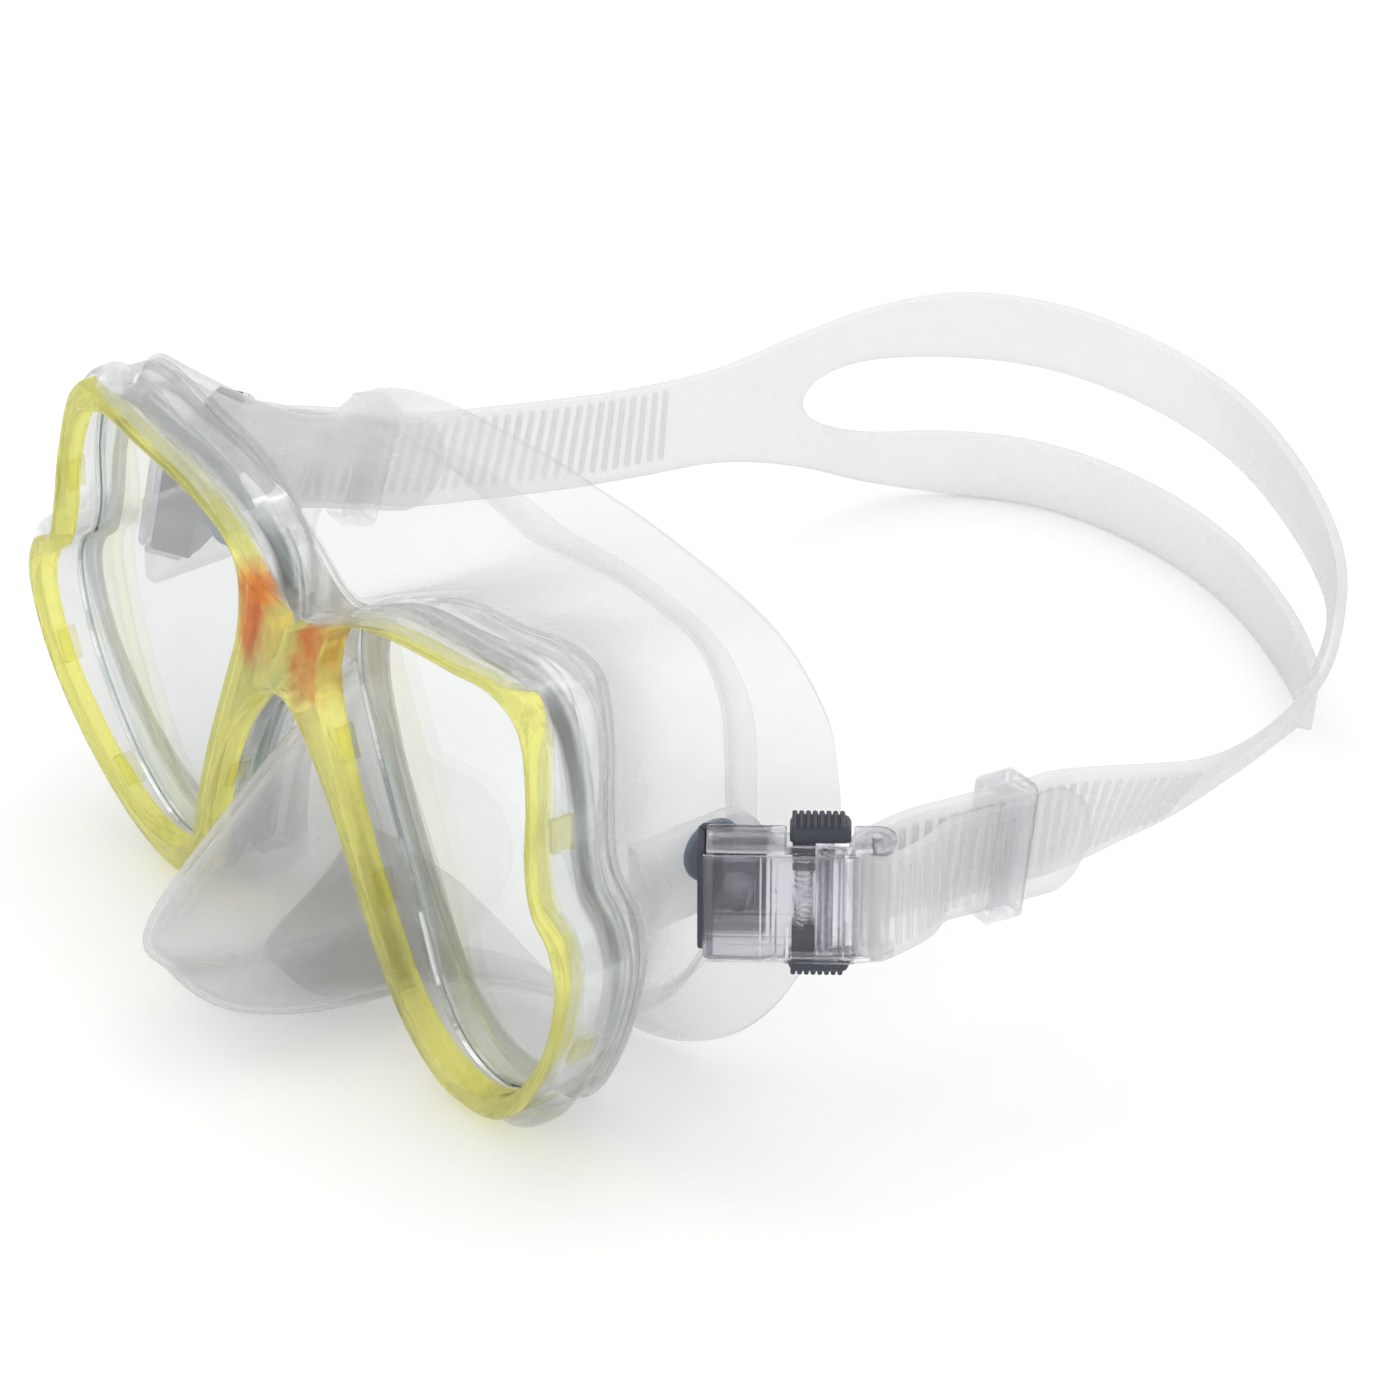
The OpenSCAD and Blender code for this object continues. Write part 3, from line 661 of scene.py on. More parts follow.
def make_carrier():
    places = ring_places(14)

    def columns(u):
        s = facing(u)
        front_y = BEZEL_BACK + 0.03
        start, edge = front_rim(u), outline_point(s, 0.45)
        lift = (BEZEL_FRONT + 1.5 - front_y) * raised(u)
        section = []
        for f in (0.0, 0.12, 0.3, 0.5, 0.7, 0.86, 0.96):
            p = start + (edge - start) * f
            drop = 1 - math.sqrt(1 - f ** 2.4)
            section.append((p[0], front_y + lift * (1 - drop) + float(bend(p[1])), p[1]))
        for d, t in CARRIER_SIDE:
            p = outline_point(s, d)
            section.append((p[0], front_y + t + float(bend(p[1])), p[1]))
        neck = opening_point(u, 0.8)
        last = outline_point(s, CARRIER_SIDE[-1][0])
        for f in (0.35, 0.7, 1.0):
            p = last + (neck - last) * f
            section.append((p[0], CARRIER_BACK + float(bend(p[1])), p[1]))
        section.append((neck[0], SEAT_BACK, neck[1]))
        seat = opening_point(u, 1.9)
        section.append((seat[0], SEAT_BACK, seat[1]))
        section.append((seat[0], front_y + float(bend(seat[1])), seat[1]))
        for f in (0.33, 0.66):
            p = seat + (start - seat) * f
            section.append((p[0], front_y + float(bend(p[1])), p[1]))
        return section

    obj = window_ring("clear_carrier", places, columns, FRAME_CLEAR)
    obj.data.set_sharp_from_angle(angle=math.radians(45))
    return obj


def make_lens(side):
    steps = 10
    us = [k / steps for k in range(len(OPENING) * steps)]
    levels = [(0.75, GLASS_FRONT), (1.1, GLASS_FRONT + 0.35), (1.1, GLASS_BACK - 0.35), (0.75, GLASS_BACK)]
    rings = [[(p[0] * side, y, p[1]) for p in (opening_point(u, d) for u in us)] for d, y in levels]
    m = len(us)
    verts = [p for r in rings for p in r]
    faces = [(j * m + i, j * m + (i + 1) % m, (j + 1) * m + (i + 1) % m, (j + 1) * m + i)
             for j in range(3) for i in range(m)]
    faces += [tuple(range(m)), tuple(range(3 * m, 4 * m))]
    obj = tidy(new_object("glass_pane", verts, faces, [GLASS, GLASS_EDGE], smooth=False))
    for poly in obj.data.polygons:
        if abs(poly.normal.y) < 0.9:
            poly.material_index = 1
    return obj


# ---------------------------------------------------------------- skirt
def skirt_control(i, v):
    f, s, w = HALF_OUTLINE[i], SEAL[i], NOSE_SHARE[i]
    front = CARRIER_BACK + 0.5
    root = f[0] * 0.985
    base = np.array([root + (s[0] - root) * v,
                     (front + float(bend(f[1]))) * (1 - v) + s[1] * v, f[1] + (s[2] - f[1]) * v])
    last = len(HALF_OUTLINE) - 1
    mid = np.array([front + (SEAL[last][1] - front) * v,
                    HALF_OUTLINE[last][1] - 1 + (SEAL[last][2] - HALF_OUTLINE[last][1] + 1) * v])
    bulge = on_path(NOSE_LINE, v * (len(NOSE_LINE) - 1)) - mid
    squeeze = math.sin(math.pi * v)
    pinch = 1 - 0.3 * w * (1 - w) * 4 * math.sqrt(max(squeeze, 0)) * 0.45
    return np.array([base[0] * (1 - WAIST * squeeze * (1 - w)) * pinch,
                     base[1] + w * bulge[0],
                     base[2] * (1 - 0.12 * squeeze * (1 - w)) + w * bulge[1]])


def full_loop(points):
    return list(points) + [np.array([-p[0], p[1], p[2]]) for p in points[-2:0:-1]]


def skirt_grid(steps, rows, v_low=0.0, v_high=1.0):
    rings = []
    for j in range(rows + 1):
        v = v_low + (v_high - v_low) * j / rows
        loop = full_loop([skirt_control(i, v) for i in range(len(HALF_OUTLINE))])
        rings.append([on_loop(loop, k / steps) for k in range(len(loop) * steps)])
    return np.array(rings)


def grid_normals(g):
    along = np.roll(g, -1, axis=1) - np.roll(g, 1, axis=1)
    across = np.gradient(g, axis=0)
    n = np.cross(along, across)
    return n / np.maximum(np.linalg.norm(n, axis=2, keepdims=True), 1e-9)


def shell(name, outer, thickness, material):
    """A closed wall inside a grid of rings; thickness has one value a row."""
    n = grid_normals(outer)
    inner = outer - n * np.asarray(thickness)[:, None, None]
    rows, m = outer.shape[:2]
    verts = [tuple(p) for p in outer.reshape(-1, 3)] + [tuple(p) for p in inner.reshape(-1, 3)]
    k = rows * m
    faces = []
    for j in range(rows - 1):
        for i in range(m):
            a, b = j * m + i, j * m + (i + 1) % m
            faces.append((a, b, b + m, a + m))
            faces.append((k + a, k + a + m, k + b + m, k + b))
    for i in range(m):
        a, b = i, (i + 1) % m
        faces.append((a, k + a, k + b, b))
        a, b = (rows - 1) * m + i, (rows - 1) * m + (i + 1) % m
        faces.append((a, b, k + b, k + a))
    return tidy(new_object(name, verts, faces, material), sharp=60)


def lens_seat(side):
    """The silicone ring that holds one lens, with a groove for the edge of the glass."""
    steps = 10
    us = [k / steps for k in range(len(OPENING) * steps)]

    def front(z):
        return BEZEL_BACK + 0.06 + float(bend(z))

    rings = []
    for u in us:
        section = []
        for d, y in ((1.85, "front"), (0.32, "front"), (0.32, GLASS_FRONT - 0.02), (1.13, GLASS_FRONT - 0.02),
                     (1.13, GLASS_BACK + 0.02), (-0.1, GLASS_BACK + 0.02), (-0.55, GLASS_BACK + 0.5),
                     (-0.6, "back"), (0.75, "back"), (0.75, SEAT_BACK - 0.03), (1.85, SEAT_BACK - 0.03)):
            p = opening_point(u, d)
            if y == "front":
                y = min(front(p[1]), GLASS_FRONT - 0.3)
            if y == "back":
                y = CARRIER_BACK + 0.3 + float(bend(p[1]))
            section.append((p[0] * side, y, p[1]))
        rings.append(section)
    obj = loft("seat", rings, SEAT_SKIN, True, True)
    return tidy(obj, sharp=40)


def make_skirt():
    outer = skirt_grid(5, 44)
    rows = outer.shape[0]
    v = np.linspace(0, 1, rows)
    # a small moulded step where the stiff side wall meets the thin sealing flange
    step = 0.35 / (1 + np.exp((v - 0.70) * 90))
    n = grid_normals(outer)
    outer = outer + n * (step - 0.35)[:, None, None] * 0.6
    thickness = 1.75 - 0.85 * v
    wall = shell("wall", outer, thickness, SKIRT_SKIN)
    parts = [wall]
    # flange that lies behind the carrier
    places = ring_places(8)

    def flange(u):
        s = facing(u)
        a, b = outline_point(s, -1.2), opening_point(u, -0.5)
        middle = a + (b - a) * 0.5
        out = []
        for p, t in ((a, 0.06), (middle, 0.06), (b, 0.06), (b, 0.85), (middle, 0.85), (a, 0.85)):
            out.append((p[0], CARRIER_BACK + t + float(bend(p[1])), p[1]))
        return out

    parts.append(window_ring("flange", places, flange, SEAT_SKIN))
    for side, _ in SIDES:
        parts.append(lens_seat(side))
        parts.append(make_tab(side))
    # inner feather lip: a thin second seal inside the flange
    lip_rows = 8
    base = skirt_grid(5, 1, 0.70, 0.74)[0]
    seal = skirt_grid(5, 1, 0.86, 0.9)[0]
    lip = []
    for j in range(lip_rows + 1):
        t = j / lip_rows
        p = base * (1 - t) + seal * t
        shrink = 1 - 0.10 * math.sin(t * math.pi / 2) - 0.012
        q = p.copy()
        q[:, 0] *= shrink
        q[:, 2] = (p[:, 2] + 6) * (shrink + 0.01) - 6
        lip.append(q)
    parts.append(shell("lip", np.array(lip), np.linspace(0.7, 0.35, lip_rows + 1), LIP_SKIN))
    return join("clear_skirt", parts)


def make_tab(side):
    """The thick silicone tab that carries a buckle."""
    steps = 28
    half, run, hole = 8.0, 17.0, 2.6
    outer = []
    for k in range(steps + 1):
        a = math.pi / 2 - math.pi * k / steps
        outer.append((half * math.cos(a), half * math.sin(a)))
    far = [(-run * k / 8, -half) for k in range(1, 9)] + [(-run, -half + 16.0 * k / 8) for k in range(1, 8)]
    far += [(-run + run * k / 8, half) for k in range(0, 8)]
    loop = outer + far
    ring = []
    for y, z in loop:
        a = math.atan2(z, y)
        ring.append((hole * math.cos(a), hole * math.sin(a)))
    rows = [([(y * 0.96 if y > 0 else y, z * 0.96) for y, z in loop], -1.5), (loop, -1.2), (loop, 1.2),
            ([(y * 0.96 if y > 0 else y, z * 0.96) for y, z in loop], 1.5),
            ([(y * 1.12, z * 1.12) for y, z in ring], 1.5), (ring, 1.2), (ring, -1.2),
            ([(y * 1.12, z * 1.12) for y, z in ring], -1.5)]
    rings = [[(x, y, z) for y, z in row] for row, x in rows]
    obj = tidy(loft("tab", rings, SEAT_SKIN, True, True), sharp=45)
    m = Matrix.Diagonal((side, 1, 1, 1)) @ Matrix.Translation(Vector(POST) * MM)
    return place(obj, m)


# ---------------------------------------------------------------- buckles
def post_matrix(side):
    return (Matrix.Diagonal((side, 1, 1, 1)) @ Matrix.Translation(Vector(POST) * MM)
            @ Matrix.Rotation(-DROOP[side], 4, "X"))


def buckle_matrix(side):
    return (post_matrix(side) @ Matrix.Translation(Vector((BUCKLE_OUT * MM, 0, 0)))
            @ Matrix.Rotation(-BUCKLE_TURN, 4, "Z"))


def repeat_bars(name, places, turns, length, width, height, material):
    """Geometry Nodes: one rounded bar at every place, turned as turns say, made one plain mesh."""
    tree = bpy.data.node_groups.new(name, "GeometryNodeTree")
    face = tree.interface
    face.new_socket("Geometry", in_out="INPUT", socket_type="NodeSocketGeometry")
    for key in ("Length", "Width", "Height"):
        face.new_socket(key, in_out="INPUT", socket_type="NodeSocketFloat")
    face.new_socket("Geometry", in_out="OUTPUT", socket_type="NodeSocketGeometry")
    nodes, links = tree.nodes, tree.links
    start, end = nodes.new("NodeGroupInput"), nodes.new("NodeGroupOutput")
    circle = nodes.new("GeometryNodeCurvePrimitiveCircle")
    circle.inputs["Resolution"].default_value = 10
    circle.inputs["Radius"].default_value = 0.5
    line = nodes.new("GeometryNodeCurvePrimitiveLine")
    line.inputs["Start"].default_value = (0, 0, -0.5)
    line.inputs["End"].default_value = (0, 0, 0.5)
    sweep = nodes.new("GeometryNodeCurveToMesh")
    sweep.inputs["Fill Caps"].default_value = True
    links.new(line.outputs["Curve"], sweep.inputs["Curve"])
    links.new(circle.outputs["Curve"], sweep.inputs["Profile Curve"])
    size = nodes.new("ShaderNodeCombineXYZ")
    for key, socket in (("Width", "X"), ("Height", "Y"), ("Length", "Z")):
        links.new(start.outputs[key], size.inputs[socket])
    shape = nodes.new("GeometryNodeTransform")
    links.new(sweep.outputs["Mesh"], shape.inputs["Geometry"])
    links.new(size.outputs["Vector"], shape.inputs["Scale"])
    turn = nodes.new("GeometryNodeInputNamedAttribute")
    turn.data_type = "FLOAT_VECTOR"
    turn.inputs["Name"].default_value = "turn"
    put = nodes.new("GeometryNodeInstanceOnPoints")
    links.new(start.outputs["Geometry"], put.inputs["Points"])
    links.new(shape.outputs["Geometry"], put.inputs["Instance"])
    links.new(turn.outputs["Attribute"], put.inputs["Rotation"])
    real = nodes.new("GeometryNodeRealizeInstances")
    links.new(put.outputs["Instances"], real.inputs["Geometry"])
    paint = nodes.new("GeometryNodeSetMaterial")
    paint.inputs["Material"].default_value = material
    links.new(real.outputs["Geometry"], paint.inputs["Geometry"])
    links.new(paint.outputs["Geometry"], end.inputs["Geometry"])

    obj = new_object(name, places, [], material, smooth=False)
    attribute = obj.data.attributes.new("turn", "FLOAT_VECTOR", "POINT")
    attribute.data.foreach_set("vector", [c for t in turns for c in t])
    m = obj.modifiers.new("bars", "NODES")
    m.node_group = tree
    sizes = {"Length": length, "Width": width, "Height": height}
    for item in face.items_tree:
        if item.item_type == "SOCKET" and item.in_out == "INPUT" and item.name in sizes:
            m[item.identifier] = sizes[item.name] * MM
    apply_modifiers(obj)
    if "turn" in obj.data.attributes:
        obj.data.attributes.remove(obj.data.attributes["turn"])
    obj.data.polygons.foreach_set("use_smooth", [True] * len(obj.data.polygons))
    return tidy(obj, sharp=40)


def make_swivel_base(side):
    parts = []
    ring = [(-2.9, 1.6), (-2.9, 4.9), (-2.7, 5.35), (-2.3, 5.5), (-1.9, 5.45), (-1.6, 5.2), (-1.6, 2.45),
            (1.75, 2.45), (1.75, 4.2), (2.0, 4.5), (4.9, 4.5), (5.2, 4.2), (5.2, 0), (-1.95, 0), (-1.95, 1.6),
            (-2.9, 1.6)]
    parts.append(place(lathe("ring", ring, BLUE_DARK, "X"), post_matrix(side)))
    m = buckle_matrix(side)
    plate = box_mesh("plate", (BASE_LOW, -5.5, -BASE_HALF), (3.4, 4.4, BASE_HALF), DARK, 0.6, 3)
    band = box_mesh("band", (BASE_LOW, -6.3, -BASE_HALF), (9.0, -5.1, BASE_HALF), DARK, 0.45, 3)
    blade = box_mesh("blade", (1.7, -5.8, 6.6), (3.3, 5.0, 9.9), DARK, 0.5, 3,
                     lambda x, y, z: (x, y, z - (0.9 if y > 0 and z > 8 else 0)))
    for o in (plate, band, blade):
        parts.append(place(o, m))
    rivet = [(3.3, 0), (3.3, 1.2), (4.2, 1.2), (4.4, 1.0), (4.4, 0)]
    for z in (-5.3, 5.3):
        parts.append(place(lathe("rivet", rivet, DARK, "X", (0, -1.5, z), 24), m))
    return join("swivel_part", parts)


def make_housing(side):
    parts = [box_mesh("floor", (FLOOR_LOW, FRONT_END, -9.4), (FLOOR_TOP, 14.9, 9.4), BUCKLE_CLEAR, 0.2),
             box_mesh("front", (FLOOR_TOP, FRONT_END, -9.4), (WALL_TOP, -3.8, 9.4), BUCKLE_CLEAR, 0.25)]
    for low, high in ((WALL_IN, WALL_OUT), (-WALL_OUT, -WALL_IN)):
        parts.append(wall_with_gap(low, high))
    parts.append(box_mesh("rest", (FLOOR_TOP, 8.4, -0.5), (8.1, 11.8, 0.5), BUCKLE_CLEAR, 0.15))
    for low, high in ((8.4, 9.35), (-9.35, -8.4)):
        parts.append(box_mesh("lug", (FLOOR_TOP, 12.15, low), (9.4, 14.9, high), BUCKLE_CLEAR, 0.2))
    peg = [(FLOOR_TOP, 0), (FLOOR_TOP, 2.5), (6.5, 2.4), (9.6, 1.5), (10.35, 1.35), (10.35, 0)]
    parts.append(lathe("peg", peg, BUCKLE_CLEAR, "X"))
    return place(join("buckle_body", parts), buckle_matrix(side))


def wall_with_gap(low, high):
    """A side wall in two stretches, with the button's gap between them and a thin bridge outside it."""
    front = box_mesh("wall", (FLOOR_LOW, FRONT_END, low), (WALL_TOP, 7.5, high), BUCKLE_CLEAR, 0.45, 3)
    back_outline = [(FLOOR_LOW, 17.9), (10.3, 17.9)]
    back_outline += [(ROLLER[0] + LOBE_R * math.cos(a), ROLLER[1] + LOBE_R * math.sin(a))
                     for a in np.linspace(0.25, math.pi - 0.2, 18)]
    verts = [(x, y, low) for x, y in back_outline] + [(x, y, high) for x, y in back_outline]
    n = len(back_outline)
    faces = [tuple(range(n))[::-1], tuple(range(n, 2 * n))]
    faces += [(i, (i + 1) % n, n + (i + 1) % n, n + i) for i in range(n)]
    back = bevel(tidy(new_object("lobe", verts, faces, BUCKLE_CLEAR)), 0.35, 2, 50)
    bridge = box_mesh("bridge", (9.65, 7.2, low), (WALL_TOP, 18.2, high), BUCKLE_CLEAR, 0.15)
    return join("wall", [front, back, bridge])


def make_cover(side):
    # along the plate, and how high its face is there: three shallow grooves
    rows = [(-5.4, 11.2), (-4.9, 11.75), (2.6, 11.85), (2.9, 11.6), (3.4, 11.6), (3.7, 11.85), (5.0, 11.85),
            (5.3, 11.55), (5.8, 11.55), (6.1, 11.85), (15.6, 11.85), (15.9, 11.5), (16.3, 11.5), (16.6, 11.8),
            (18.0, 11.6), (18.8, 11.1)]
    levels = [(-9.45, -0.55), (-9.0, -0.1), (-8.2, 0), (0, 0), (8.2, 0), (9.0, -0.1), (9.45, -0.55)]
    rings = []
    for y, high in rows:
        ring = [(high + d, y, z) for z, d in levels] + [(COVER_LOW, y, z) for z, _ in levels[::-1]]
        rings.append(ring)
    lid = tidy(loft("lid", rings, BUCKLE_CLEAR, True, False, True), sharp=25)
    return place(join("buckle_cover", [lid]), buckle_matrix(side))


def make_button(side, s):
    ends = ((7.95, 12.6, 0.5), (8.35, 13.2, 0.15), (9.0, 13.5, 0), (16.4, 13.5, 0), (17.05, 13.2, 0.15),
            (17.45, 12.6, 0.5))
    rows = []
    for y, top, x_in in ends:
        rows.append([(3.95 + x_in, y, CAP_LOW), (3.95 + x_in, y, top - 0.8), (4.5 + x_in, y, top - 0.2),
                     (5.3, y, top), (7.9, y, top), (8.7 - x_in, y, top - 0.2), (9.25 - x_in, y, top - 0.8),
                     (9.25 - x_in, y, CAP_LOW)])
    cap = tidy(loft("cap", rows, DARK, True, False, True), sharp=40)
    stem = box_mesh("stem", (4.9, 8.4, 5.2), (8.1, 12.0, 11.2), DARK, 0.2)
    places = [(6.6, 8.7 + 1.05 * k, 13.45) for k in range(8)]
    ribs = repeat_bars("grip_ribs", places, [(0, math.pi / 2, 0)] * 8, 4.4, 0.9, 0.85, DARK)
    obj = join("release_button", [cap, stem, ribs])
    place(obj, Matrix.Diagonal((1, 1, s, 1)))
    return place(obj, buckle_matrix(side))


def make_pawl(side):
    x, y = PAWL_AXIS
    half = PAWL_HALF
    ends = [(-half, PAWL_BORE_R), (-half, 1.25), (-8.1, 1.4), (8.1, 1.4), (half, 1.25), (half, PAWL_BORE_R),
            (-half, PAWL_BORE_R)]
    barrel = lathe("barrel", ends, BUCKLE_CLEAR, "Z", (x, y, 0), 32)
    bar = box_mesh("bar", (x - 0.9, y, -half), (x + 0.9, y + 3.1, half), BUCKLE_CLEAR, 0.3, 2)
    tooth = box_mesh("tooth", (x - 1.9, y + 2.1, -half), (x - 0.7, y + 3.1, half), BUCKLE_CLEAR, 0.25, 2)
    return place(join("strap_pawl", [barrel, bar, tooth]), buckle_matrix(side))


def make_keeper(side):
    wall, length = 1.6, 7.0
    inside = (2 * STRAP_THICK + 0.3 + 0.9, 2 * (STRAP_HALF + 1) + 1)
    rings = []

    def loop(half_x, half_z, r, y):
        pts = []
        for cx, cz, a0 in ((1, 1, 0), (-1, 1, 90), (-1, -1, 180), (1, -1, 270)):
            for k in range(5):
                a = math.radians(a0 + 22.5 * k)
                pts.append((cx * (half_x - r) + r * math.cos(a), y, cz * (half_z - r) + r * math.sin(a)))
        return pts

    ix, iz = inside[0] / 2, inside[1] / 2
    end, e = length / 2, 0.45
    for grow, y in ((wall - e, -end), (wall, -end + e), (wall, end - e), (wall - e, end),
                    (e, end), (0, end - e), (0, -end + e), (e, -end)):
        rings.append(loop(ix + grow, iz + grow, 0.9 + grow * 0.5, y))
    obj = tidy(loft("strap_keeper", rings, KEEPER_CLEAR, True, True), sharp=40)
    d = (math.sin(RUN_ANGLE[side]), math.cos(RUN_ANGLE[side]))
    out = (d[1], -d[0])
    t, off = 26.0, LAYER_GAP / 2 - WRAP_R
    mx = roller_plan()[0] + t * d[0] + off * out[0] - POST[0]
    my = roller_plan()[1] + t * d[1] + off * out[1] - POST[1]
    m = (post_matrix(side) @ Matrix.Translation(Vector((mx, my, -math.tan(FALL[side]) * (t - 9))) * MM)
         @ Matrix.Rotation(-RUN_ANGLE[side], 4, "Z") @ Matrix.Rotation(-FALL[side], 4, "X"))
    return place(obj, m)


def roller_plan():
    c, s = math.cos(BUCKLE_TURN), math.sin(BUCKLE_TURN)
    return (POST[0] + BUCKLE_OUT + ROLLER[0] * c + ROLLER[1] * s, POST[1] - ROLLER[0] * s + ROLLER[1] * c)


def make_spring(side, s):
    turns, steps, r, wire = 4, 20, 1.35, 0.22
    rings = []
    count = turns * steps
    for k in range(count + 1):
        a = 2 * math.pi * k / steps
        c = np.array([r * math.cos(a), r * math.sin(a), 0.55 + wire + (4.6 - 2 * wire) * k / count])
        n = np.array([math.cos(a), math.sin(a), 0])
        rings.append([tuple(c + wire * (math.cos(b) * n + math.sin(b) * np.array([0, 0, 1])))
                      for b in np.linspace(0, 2 * math.pi, 9)[:-1]])
    obj = tidy(loft("button_spring", rings, STEEL, True, False, True))
    obj.data.transform(Matrix.Translation(Vector((*SPRING_AXIS, 0)) * MM))
    place(obj, Matrix.Diagonal((1, 1, s, 1)))
    return place(obj, buckle_matrix(side))


# ---------------------------------------------------------------- strap
def swung(side, x, y, z):
    c, s = math.cos(DROOP[side]), math.sin(DROOP[side])
    v = y - POST[1]
    return side * x, POST[1] + c * v + s * z, POST[2] - s * v + c * z


def end_station(side, t, d, lift):
    """A place on a strap end: t along from the roller, d to the outside of it, lift upwards."""
    direction = (math.sin(RUN_ANGLE[side]), math.cos(RUN_ANGLE[side]))
    out = (direction[1], -direction[0])
    r = roller_plan()
    x = r[0] + t * direction[0] + d * out[0]
    y = r[1] + t * direction[1] + d * out[1]
    pitch = math.degrees(DROOP[side]) + (math.degrees(FALL[side]) if t > 9 else 0)
    return (*swung(side, x, y, lift - math.tan(FALL[side]) * max(t - 9, 0)), STRAP_HALF, 0, pitch)


def strap_end(side):
    stations = [end_station(side, t, LAYER_GAP - WRAP_R, -1) for t in (43, 38, 32, 28, 20, 15)]
    stations.append(end_station(side, 8, WRAP_R - 1.3, -0.8))
    for degrees in range(0, 181, 30):
        a = math.radians(degrees)
        stations.append(end_station(side, -WRAP_R * math.sin(a), WRAP_R * math.cos(a), -0.5 + degrees / 180))
    return stations + [end_station(side, t, -WRAP_R, 1) for t in (8, 15, 20, 28, 32, 38)]


BACK_Z = SPLIT_HALF - STAND
# The strap's middle line behind the keepers: x, y, z, half its height, how far its face leans, its pitch
LOOP = [
    (89.3, 54, -2.5, STRAP_HALF, 22, 4), (88.4, 68, -5, STRAP_HALF, 34, 2),
    (83.5, 84, -7.5, STRAP_HALF, 36, 0), (74.5, 103, -11, STRAP_HALF + 0.5, 30, 0),
    (61.5, 121.5, -15.5, STRAP_HALF + 3, 16, 0),
    (45, 138.5, -22, SPLIT_HALF - 2.5, 4, 0), (25, 151, BACK_Z, SPLIT_HALF, 0, 0),
    (3, 159.5, BACK_Z, SPLIT_HALF, 0, 0), (-17, 163, BACK_Z, SPLIT_HALF, 0, 0),
    (-37, 162, BACK_Z, SPLIT_HALF, 0, 0), (-54, 156.5, BACK_Z, SPLIT_HALF, 0, 0),
    (-67, 146, BACK_Z, SPLIT_HALF - 0.3, 0, 0), (-75, 131, -23, 18.5, 0, 0),
    (-78, 115, -20.5, 13.5, 0, 0), (-78.5, 98, -18, STRAP_HALF + 0.7, 0, 3),
    (-78.5, 80, -15.5, STRAP_HALF, 0, 7), (-79, 62, -12.5, STRAP_HALF, 0, 12)]
SLOT_FROM_LEFT, SLOT_FROM_RIGHT = 182.0, 178.0
SLOT_END_LEFT, SLOT_END_RIGHT = 34.0, 20.0
TIP_RUN = 7.0
# Ribs along the strap as (first, past the last, pitch), from its tips
TAIL_RIBS = (16.5, 43.5, 2.4)
LEFT_RIBS = (60.0, 124.0, 2.4)
RIGHT_RIBS = (60.0, 148.0, 2.6)


def strap_route():
    return strap_end(1) + LOOP + strap_end(-1)[::-1]


